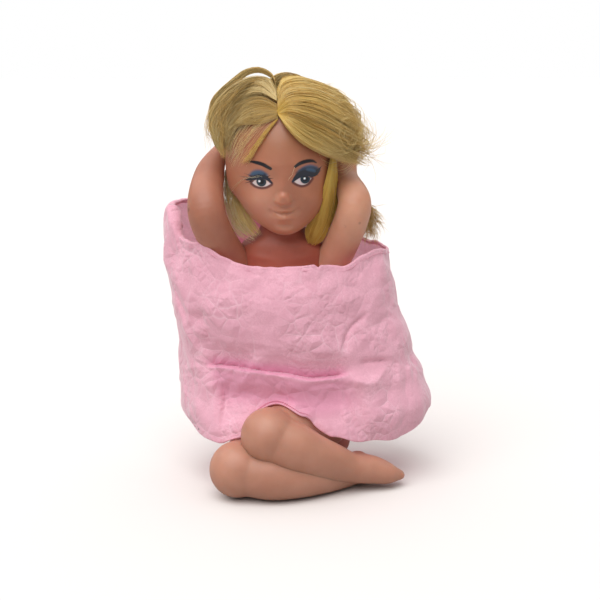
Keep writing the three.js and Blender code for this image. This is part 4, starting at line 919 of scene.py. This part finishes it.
CRUMPLES = ((13.0, 1.2, 11), (6.5, 0.7, 21), (3.2, 0.25, 31))  # width of a facet, height and seed


def eased(known, values, at):
    """Values between known places, eased by half a cosine wave."""
    k = np.clip(np.searchsorted(known, at, side="right"), 1, len(known) - 1)
    share = np.clip((at - known[k - 1]) / (known[k] - known[k - 1]), 0, 1)
    share = 0.5 - 0.5 * np.cos(np.pi * share)
    if values.ndim > 1:
        share = share[..., None]
    return values[k - 1] + (values[k] - values[k - 1]) * share


def heights_around(pairs, degrees):
    """A height that runs smoothly through given angles and comes round to its start."""
    known = np.array([*pairs, (pairs[0][0] + 360, pairs[0][1])], dtype=float)
    return eased(known[:, 0], known[:, 1], np.mod(degrees, 360))


def crumple(flat, size, seed):
    """Crumpled paper: random heights at scattered places, joined by the flat triangles between them."""
    rng = np.random.default_rng(seed)
    low, high = flat.reshape(-1, 2).min(0) - 2 * size, flat.reshape(-1, 2).max(0) + 2 * size
    lattice = np.stack(np.meshgrid(*(np.arange(a, b, size) for a, b in zip(low, high))), -1).reshape(-1, 2)
    places = lattice + rng.uniform(-0.48, 0.48, lattice.shape) * size
    heights = rng.uniform(-1, 1, len(places))
    corners = delaunay_2d_cdt([Vector(p) for p in places], [], [], 0, 1e-6)[2]
    height = np.zeros(flat.shape[:2])
    across, up = flat[0, :, 0], flat[..., 1]
    for a, b, c in corners:
        p, q, r = places[a], places[b], places[c]
        first, last = np.searchsorted(across, [min(p[0], q[0], r[0]), max(p[0], q[0], r[0])])
        part = flat[:, first:last]
        twice = (q[0] - p[0]) * (r[1] - p[1]) - (q[1] - p[1]) * (r[0] - p[0])
        if last == first or abs(twice) < 1e-6:
            continue
        wq = ((part[..., 0] - p[0]) * (r[1] - p[1]) - (part[..., 1] - p[1]) * (r[0] - p[0])) / twice
        wr = ((q[0] - p[0]) * (part[..., 1] - p[1]) - (q[1] - p[1]) * (part[..., 0] - p[0])) / twice
        wp = 1 - wq - wr
        inside = (wp >= 0) & (wq >= 0) & (wr >= 0)
        height[:, first:last][inside] = (wp * heights[a] + wq * heights[b] + wr * heights[c])[inside]
    return height


def beside_line(x, z, points):
    """Distance from a line through points (x, z), above it positive, and the share of the way along it."""
    line = smooth_line(points, np.linspace(0, 1, 30))
    nearest, signed, along = np.full(x.shape, 1e3), np.zeros(x.shape), np.zeros(x.shape)
    for k, (start, end) in enumerate(zip(line[:-1], line[1:])):
        run = end - start
        t = np.clip(((x - start[0]) * run[0] + (z - start[1]) * run[1]) / (run @ run + 1e-9), 0, 1)
        dx, dz = x - start[0] - t * run[0], z - start[1] - t * run[1]
        far = np.hypot(dx, dz)
        closer = far < nearest
        nearest = np.where(closer, far, nearest)
        signed = np.where(closer, far * np.sign(run[0] * dz - run[1] * dx), signed)
        along = np.where(closer, (k + t) / (len(line) - 1), along)
    return signed, along


# Folds across the front of the wrap: places (x, z) along each
LAP_VALLEY = [(-31, 39), (-27, 40), (-22, 40.2), (-18.5, 40), (-14.5, 39.8), (-10, 39.4), (-4, 38.9),
              (3.5, 37.4), (8.5, 37.6), (13, 38), (17, 39.5)]
LAP_PROFILE = np.array([  # mm above the valley, then mm outward
    (-26, 0.8), (-19, -0.8), (-13, -3.4), (-9, -3.8), (-3, -1.3), (-0.9, -0.2), (-0.4, -3.0), (0.5, -3.2),
    (2.5, -1.8), (5, -0.6), (8, 0.1), (12, 0.2), (20, 0),
])
LAP_TUCK = 2.2  # how far the chest panel drops behind the edge of the lap panel
LAP_PAINTED_SHADE = 0.6  # painted shade: how much deeper in colour the lap panel is below that edge, under the chest panel's overhang
LIP_PAINTED_SHADE = 0.9  # and the painted shadow along the edge itself
KNEE_CORNER = 4.0  # how far the low corner at the doll's right knee is pushed out
KNEE_CORNER_X = -24.0
RIM_IMPRINT = [(-30, 66), (-18, 63.6), (-4, 62.4), (10, 63), (24, 66)]
FRONT_LINES = (  # outward rise, half width, and the line
    (0.5, 0.8, [(-39, 34.5), (-36, 36.5), (-33, 38), (-30, 38.5)]),
    (0.7, 1.2, [(-34, 30), (-29.5, 32.5), (-24.5, 35), (-20, 37)]),
    (-0.9, 1.4, [(-31, 23), (-28.5, 27), (-23.5, 29), (-18.5, 31), (-12, 34)]),
    (-0.9, 1.0, [(-1, 33.5), (8, 35), (16.5, 34), (21, 32)]),
    (1.3, 1.8, [(15, 37), (22, 35), (28, 39.5)]),
    (-1.2, 0.8, [(18, 41), (23, 41), (29, 40.5)]),
    (-1.2, 0.9, [(14.5, 43.5), (14, 47.5), (15.5, 51.5), (19, 54.5), (23, 56.5)]),
    (0.8, 1.2, [(-33, 66), (-34.5, 56.5), (-35, 50)]),
    (-0.9, 0.8, [(-30, 52), (-29, 48), (-29, 46)]),
)
FRONT_SWELLS = (  # outward rise, centre and half sizes
    (0.3, (23.5, 48.5), (5.5, 5.0)),
    (-1.1, (-32.5, 54.5), (2.6, 2.4)),
    (1.3, (-32.5, 49.0), (3.2, 2.6)),
)
SPECK = (-30.8, 18.2)
SPECK_RADIUS = 0.3


def front_folds(x, z):
    """The long folds of the front, outward positive, the drop into the deepest one, and the painted shade
    there: the lap panel below the valley and the valley's edge deeper in colour, standing in for the shade
    under the overhanging chest panel. The chest panel tucks behind the lap panel along the valley, whose
    section is flat panels between sharp folds. Ridges and creases are rise x exp(-distance / half width),
    fading at their ends. The corner at the doll's right knee is pushed out."""
    d, s = beside_line(x, z, LAP_VALLEY)
    ends = smooth_step(s, 0.0, 0.12) * smooth_step(1 - s, 0.0, 0.15)
    off = np.interp(d, LAP_PROFILE[:, 0], LAP_PROFILE[:, 1]) * ends
    drop = LAP_TUCK * np.exp(-(((d - 0.8) / 0.9) ** 2)) * ends
    # painted shade: the lap panel below the valley and the valley's edge are darker, for the shade under the
    # overhanging chest panel
    panel = LAP_PAINTED_SHADE * smooth_step(-d, 0.5, 3) * (1 - smooth_step(-d, 9, 15))
    lip = LIP_PAINTED_SHADE * smooth_step(d, -1.6, -0.6) * (1 - smooth_step(d, 1.2, 2.6))
    painted_lap_shade = ends * np.maximum(panel, lip)
    for rise, wide, line in FRONT_LINES:
        d, s = beside_line(x, z, line)
        off += rise * np.exp(-np.abs(d) / wide) * smooth_step(s, 0.0, 0.25) * smooth_step(1 - s, 0.0, 0.25)
    for rise, at, size in FRONT_SWELLS:
        off += mound(x, z, at, size, rise)
    off += KNEE_CORNER * np.exp(-(((x - KNEE_CORNER_X) / 9) ** 2)) * smooth_step(-z, -31, -15)
    d, s = beside_line(x, z, RIM_IMPRINT)
    ends = smooth_step(s, 0, 0.15) * smooth_step(1 - s, 0, 0.15)
    broken = smooth_step(value_noise(np.stack([x, z], -1) / 6, 43), -0.2, 0.5)
    off += 0.2 * smooth_step(d, -0.5, 0.5) * np.exp(-((np.maximum(d, 0) / 6) ** 2)) * ends * broken
    upright = value_noise(np.stack([x / 1.3, z / 9.0], -1), 41)
    return off + 0.25 * upright * smooth_step(x, 24, 31) * (1 - smooth_step(z, 40, 52)), drop, painted_lap_shade


def paper_wrap():
    """One sheet wound round the body with its ends lapped at the back: an oval whose reach eases between six
    heights, its rim and hem each turned in over a soft roll, then folded, crumpled and wrinkled along its
    normal, and last moved clear of the legs."""
    columns, wall_rows = 610, 112
    degrees = np.linspace(WRAP_START, WRAP_START + 360 + WRAP_LAP, columns)[None, :]
    rim, hem = heights_around(RIM_HEIGHTS, degrees), heights_around(HEM_HEIGHTS, degrees)
    ragged = np.radians(degrees)[..., None] * WRAP_RADIUS
    rim = rim + 0.5 * value_noise(ragged / 6.5, 3) + 0.15 * value_noise(ragged / 2.2, 4)
    rim = rim - RIM_NOTCH_DEPTH * np.exp(-(((degrees - RIM_NOTCH) / 1.2) ** 2))
    hem = hem + 0.4 * value_noise(ragged / 6.0, 5)
    round_rim = RIM_ROLL + SIDE_ROLL * np.exp(-(((degrees - SIDE_ROLL_AT) / SIDE_ROLL_HALF) ** 2))
    roll = np.radians(np.linspace(0, 180, 15))[1:-1, None]
    up = np.linspace(0, 1, wall_rows)[:, None]
    down = np.linspace(0, 1, 10)[:, None]
    wall_z = hem + HEM_ROLL + (rim - round_rim - hem - HEM_ROLL) * up
    rim_z, rim_in = rim - round_rim + round_rim * np.sin(roll), round_rim * (1 - np.cos(roll)) + 0 * rim
    hem_z, hem_in = hem + HEM_ROLL - HEM_ROLL * np.sin(roll), HEM_ROLL * (1 - np.cos(roll)) + 0 * hem
    inner_rim_z, inner_rim_in = rim - round_rim - RIM_TURNED_IN * down, 2 * round_rim - 0.8 * down + 0 * rim
    inner_hem_z, inner_hem_in = hem + HEM_ROLL + HEM_TURNED_IN * down, 2 * HEM_ROLL - 0.5 * down + 0 * hem
    z = np.concatenate([inner_hem_z[::-1], hem_z[::-1], wall_z, rim_z, inner_rim_z])
    inset = np.concatenate([inner_hem_in[::-1], hem_in[::-1], 0 * wall_z, rim_in, inner_rim_in])
    reach = eased(WRAP_Z, WRAP_REACH, z)
    turn = np.radians(degrees) + 0 * z
    half_width = (reach[..., 1] - reach[..., 0]) / 2
    half_depth = np.where(np.sin(turn) < 0, WRAP_MIDDLE_Y - reach[..., 2], reach[..., 3] - WRAP_MIDDLE_Y)
    x = (reach[..., 0] + reach[..., 1]) / 2 + half_width * np.cos(turn)
    y = WRAP_MIDDLE_Y + half_depth * np.sin(turn)
    normal = unit(np.stack([np.cos(turn) / half_width, np.sin(turn) / half_depth, 0 * turn], -1))
    climb = np.linalg.norm(np.diff(np.stack([x, y, z], -1), axis=0), axis=-1).mean(1)
    span = np.concatenate([[0], np.cumsum(climb)])[:, None]
    flat = np.stack([np.radians(degrees - WRAP_START) * WRAP_RADIUS + 0 * z, span + 0 * z], -1)
    front = smooth_step(-np.sin(turn), -0.1, 0.25)
    folds, drop, painted_lap_shade = front_folds(x, z)
    off = front * folds * (inset < 0.5)
    calm = 1 - front * (0.6 * np.exp(-((x + 2) / 20) ** 2 - ((z - 52) / 9) ** 2)
                        + 0.3 * np.exp(-((x + 5) / 22) ** 2 - ((z - 40) / 6) ** 2))
    near_rim = 1 + 0.6 * smooth_step(z - rim, -9, -2)
    for size, height, seed in CRUMPLES:
        shifted = flat + 0.3 * size * np.stack([0 * z, value_noise(flat / size, seed)], -1)
        rise = crumple(shifted, size, seed)
        patchy = smooth_step(value_noise(flat / 13.0, seed + 5), -0.15, 0.45)
        quiet = calm if size > 5 else 1
        off += height * rise * quiet * near_rim * (0.3 + 0.7 * patchy)
    lapped = LAP_STEP * smooth_step(degrees, WRAP_START + 300, WRAP_START + 360)
    points = np.stack([x, y, z - front * drop], -1) + normal * (off - inset + lapped)[..., None]
    gap = np.where(inset > 0.4, EDGE_OFF_LEG, SHEET_OFF_LEG)[..., None]
    for line in (*left_leg_lines(), *right_leg_lines()):
        points = clear_of_limb(points, line, np.linspace(0, 1, 30), gap)
    low = (0.5 * front * (1 - smooth_step(z, 30, 36)))[1:-1, :, None]
    for _ in range(10):
        points[1:-1] += low * ((points[:-2] + points[2:]) / 2 - points[1:-1])
    edge = len(inner_hem_z) + len(hem_z)
    turned = np.stack([0 * z, 0 * z, z - z[edge]], -1) - normal[edge] * inset[..., None]
    points[:edge] = points[edge] + turned[:edge]
    made = piece("paper_sheet", points.reshape(-1, 3), grid_faces(len(z), columns, False), PAPER)
    # a real dark speck, and the painted shade of the lap panel
    store(made, "speck", (disc(x, z, SPECK, SPECK_RADIUS) * front).ravel())
    store(made, "painted_lap_shade", (painted_lap_shade * front).ravel())
    return made


# Assembly

ARMS = {"right_arm": arm_stations(-1), "left_arm": arm_stations(1)}
ARM_VOXEL, LEG_VOXEL = 0.3, 0.36  # size of the grid on which a casting's forms are joined
ARM_EASING, LEG_EASING = 8, 36  # rounds of smoothing over the joins
TO_FOREARM = np.linspace(0, 4 / 7, 40)  # shares of an arm's line, up to the fifth of its eight stations
HAIR_OFF_ARM = 0.25


def put(made, body, slot, *nodes):
    """Rides a piece on its body and hides the solids that it stands for."""
    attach(made, body)
    if nodes:
        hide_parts(*nodes)


def hair(name, *groups):
    """One lock from several groups of strands, clear of the head and of both arms up to the forearms."""
    paths, tones, warmth, radius = (np.concatenate(parts) for parts in zip(*groups))
    for arm in ARMS.values():
        paths = clear_of_limb(paths, arm, TO_FOREARM, HAIR_OFF_ARM)
    put(fibres(clear_of_head(paths), tones, warmth, radius, name + "_fibres"), "head", "hair", name)


put(piece("torso_cast", *torso_surface(), TORSO_VINYL), "torso", "vinyl", "torso_shell")
put(head(), "head", "vinyl", "head_shell")
for arm_side, (arm_name, arm) in zip((-1, 1), ARMS.items()):
    forms = [limb(arm, rows=90, facing=away_from_head)]
    forms += [limb(finger, rows=20, sides=16, facing=away_from_head) for finger in finger_stations(arm_side)]
    made = cast(arm_name + "_cast", forms, ARM_VINYL[arm_name], ARM_VOXEL, ARM_EASING)
    put(made, arm_name, "vinyl", arm_name + "_shell")
heel = ball(LEFT_ANKLE + (2, 2.8, 0.6), HEEL_RADIUS)
for leg_name, forms in (("right_leg", leg_forms(right_leg_lines(), RIGHT_KNEE)),
                        ("left_leg", leg_forms(left_leg_lines(), LEFT_KNEE, heel))):
    made = cast(leg_name + "_cast", forms, VINYL, LEG_VOXEL, LEG_EASING)
    put(made, "torso", "vinyl", leg_name + "_shell")

sheet = paper_wrap()
put(sheet, "torso", "paper", "paper_wrap")

UNDER = (150, 320)  # degrees that the ends of the fan turn under
hair("hair_left_sweep_front",
     strands(FAN, 520, 101, 0, 0.8, tone=0.6, wander=0.3, steps=28, fall=0.3, lengths=(0.82, 0.92),
             warm=(1, 0.5)),
     strands(FAN, 480, 127, 0.5, 1.6, tone=0.6, curl=(70, 200), steps=28, fall=0.3, rise=0.8,
             lengths=(0.86, 1), warm=(1, 0.5)))
hair("hair_left_sweep_middle",
     strands(FAN, 1000, 102, 1.4, 3.1, tone=0.6, curl=UNDER, steps=28, fall=0.3, loops=0.3,
             lengths=(0.75, 1), warm=(1, 0.45)))
hair("hair_left_sweep_top",
     strands(FAN, 1000, 103, 2.9, 5, tone=0.6, curl=UNDER, steps=28, fall=0.3, loops=0.3,
             lengths=(0.75, 1), warm=(0.9, 0.4)),
     strands(FAN, 24, 121, 1, 5, radius=0.04, wander=2, steps=28, lengths=(0.7, 0.9), tuft=1, tone=0.2),
     # pale looped ends along the edge of the fan: real curls, drawn lighter as a painted highlight where
     # light catches them
     strands(FAN, 110, 126, 1, 4.8, curl=(200, 380), steps=28, loops=0.5, radius=0.06, wander=0.6,
             lengths=(0.82, 0.94), tuft=9, tone=1, warm=(0.6, 0.1)))
hair("hair_right_wisp",
     strands(VEIL, 30, 104, 0, 0.28, radius=0.055, wander=0.6, tuft=2, tone=0.9, warm=(1, 0.6)),
     strands(VEIL, 60, 105, 0.2, 2.6, radius=0.035, wander=0.9, tuft=2, tone=0.7, warm=(0.5, 0.2)),
     strands(VEIL, 130, 128, 2.1, 3, radius=0.05, wander=0.6, tuft=3, tone=0.5, warm=(0.7, 0.3)),
     strands(TEMPLE, 170, 129, 0, 1, radius=0.05, wander=0.5, tuft=3, tone=0.5, warm=(0.7, 0.3)),
     *(strands([guide], 1, 130 + k, 0, 0, radius=0.035, wander=0.2, tuft=1, tone=1, warm=(0, 0))
       for k, guide in enumerate(STRAY)))
# The sweep and the drape fall darker toward their ends beside the temple, and the fibres behind the drape are
# darker still: painted shade of the hair lying in shadow there.
hair("hair_right_sweep",
     strands(SWEEP, 600, 106, 0, 1, radius=0.08, tone=0.6, fall=-0.5, warm=(0.5, 0.25)))
hair("hair_right_drape",
     strands(SWEEP, 600, 107, 0.9, 2, radius=0.08, tone=0.5, fall=-0.6, warm=(0.4, 0.15)),
     strands(BEHIND_DRAPE, 130, 125, 0, 0, tone=0.1, warm=(0.6, 0.5)),
     strands(HANG, 30, 122, 0, 0, radius=0.05, wander=0.6, tone=0.2, warm=(0.5, 0.5)),
     strands(SWEEP, 90, 123, 0.6, 2, radius=0.045, wander=4.2, tuft=1, tone=0.3))
hair("hair_crown_loop",
     strands(LOOP, 30, 108, 0, 0.1, radius=0.08, wander=0.3, warm=(0.6, 0.3)),
     strands(LOOP, 280, 109, 0.9, 1, radius=0.08, wander=0.4, tone=0.4, fall=-0.4, warm=(0.6, 0.3)),
     strands(CROWN_FILL, 320, 110, 0, 1, warm=(0.5, 0.3)),
     strands(CROWN_KNOT, 260, 124, 0, 0, wander=0.6, tone=0.35, warm=(0.6, 0.4)))
hair("hair_left_side_lock",
     strands(SIDE_LEFT, 600, 111, 0, 2, wander=0.2, lengths=(0.9, 1), tuft=4, tone=1, fall=-0.3, warm=(1, 1)),
     # fourteen pale fibres down the lock's curve: a painted highlight streak
     strands(SIDE_LEFT, 14, 131, 1, 1.15, radius=0.07, wander=0.1, tuft=14, tone=1, warm=(0.1, 0.1)))
hair("hair_right_side_lock",
     strands(SIDE_RIGHT, 130, 112, 0, 0.5, radius=0.07, wander=0.4, tone=0.9, warm=(0.7, 0.6)),
     strands(SIDE_RIGHT, 80, 119, 0.45, 1, radius=0.055, wander=0.6, tuft=3, tone=0.9, warm=(0.2, 0.2)))
hair("hair_left_tail",
     strands(TAIL, 330, 113, 0, 1, radius=0.06, wander=1.9, curl=(0, 120), steps=28, loops=0.25, tone=0.4,
             warm=(0.6, 0.4)))
SCALP_HAIR = dict(warm=(0.5, 0.3), steps=18)  # what the plain hair of the crown and the back has in common
hair("hair_crown_left", strands(BACK, 320, 114, 0, 2, lengths=(0.42, 0.6), **SCALP_HAIR))
hair("hair_crown_right", strands(BACK, 320, 115, 6, 7.1, lengths=(0.42, 0.6), **SCALP_HAIR),
     strands(BACK, 160, 132, 7, 7.7, lengths=(0.4, 0.55), tone=0.3, **SCALP_HAIR))
hair("hair_back_left", strands(BACK, 420, 116, 1.7, 3.3, **SCALP_HAIR))
hair("hair_back_centre", strands(BACK, 420, 117, 3.2, 4.8, **SCALP_HAIR))
hair("hair_back_right", strands(BACK, 420, 118, 4.7, 6.3, **SCALP_HAIR))


# Stage, light and camera

def stage():
    """A white floor that runs to the horizon, a broad soft light overhead and a dim even surround."""
    side = 3000.0
    corners = np.array([(-side, -side, 0), (side, -side, 0), (side, side, 0), (-side, side, 0)])
    material, tree = new_material("white_table")
    seen = node(tree, "ShaderNodeLightPath").outputs["Is Camera Ray"]
    matte = node(tree, "ShaderNodeBsdfDiffuse", {"Color": linear("#bdb9b6")})
    bright = node(tree, "ShaderNodeBsdfDiffuse", {"Color": linear("#e6e1de")})
    shown = node(tree, "ShaderNodeMixShader", {0: seen, 1: matte.outputs[0], 2: bright.outputs[0]})
    node(tree, "ShaderNodeOutputMaterial", {"Surface": shown.outputs[0]})
    piece("table", corners, np.array([[0, 1, 2, 3]]), material)

    world = bpy.data.worlds.new("white_surround")
    world.use_nodes = True
    tree = world.node_tree
    tree.nodes.clear()
    seen = node(tree, "ShaderNodeLightPath").outputs["Is Camera Ray"]
    strength = node(tree, "ShaderNodeMapRange", {"Value": seen, "To Min": 0.28, "To Max": 1.0})
    sky = node(tree, "ShaderNodeBackground", {
        "Color": linear("#ffffff"), "Strength": strength.outputs["Result"]})
    node(tree, "ShaderNodeOutputWorld", {"Surface": sky.outputs[0]})
    bpy.context.scene.world = world

    for name, energy, angle, turn in (("window_softbox", 2.2, 60, (31, -16)),
                                      ("ceiling_softbox", 1.8, 110, (-18, -6))):
        lamp = bpy.data.lights.new(name, "SUN")
        lamp.energy = energy
        lamp.angle = math.radians(angle)
        box = bpy.data.objects.new(name, lamp)
        box.location = (0, 0, 0.6)
        box.rotation_euler = (math.radians(turn[0]), math.radians(turn[1]), 0)
        bpy.context.scene.collection.objects.link(box)


def photograph():
    """A camera 420 mm away, 12 degrees above the horizon, aimed 58 mm up the doll's middle."""
    elevation, distance, height = math.radians(12), 420 * MM, 58 * MM
    camera = bpy.data.cameras.new("camera")
    camera.lens, camera.sensor_width = 78.75, 36
    camera.clip_start = 0.01
    holder = bpy.data.objects.new("camera", camera)
    holder.location = (0, -distance * math.cos(elevation), height + distance * math.sin(elevation))
    holder.rotation_euler = (math.pi / 2 - elevation, 0, 0)
    bpy.context.scene.collection.objects.link(holder)
    bpy.context.scene.camera = holder
    bpy.context.scene.view_settings.view_transform = "Standard"


stage()
photograph()
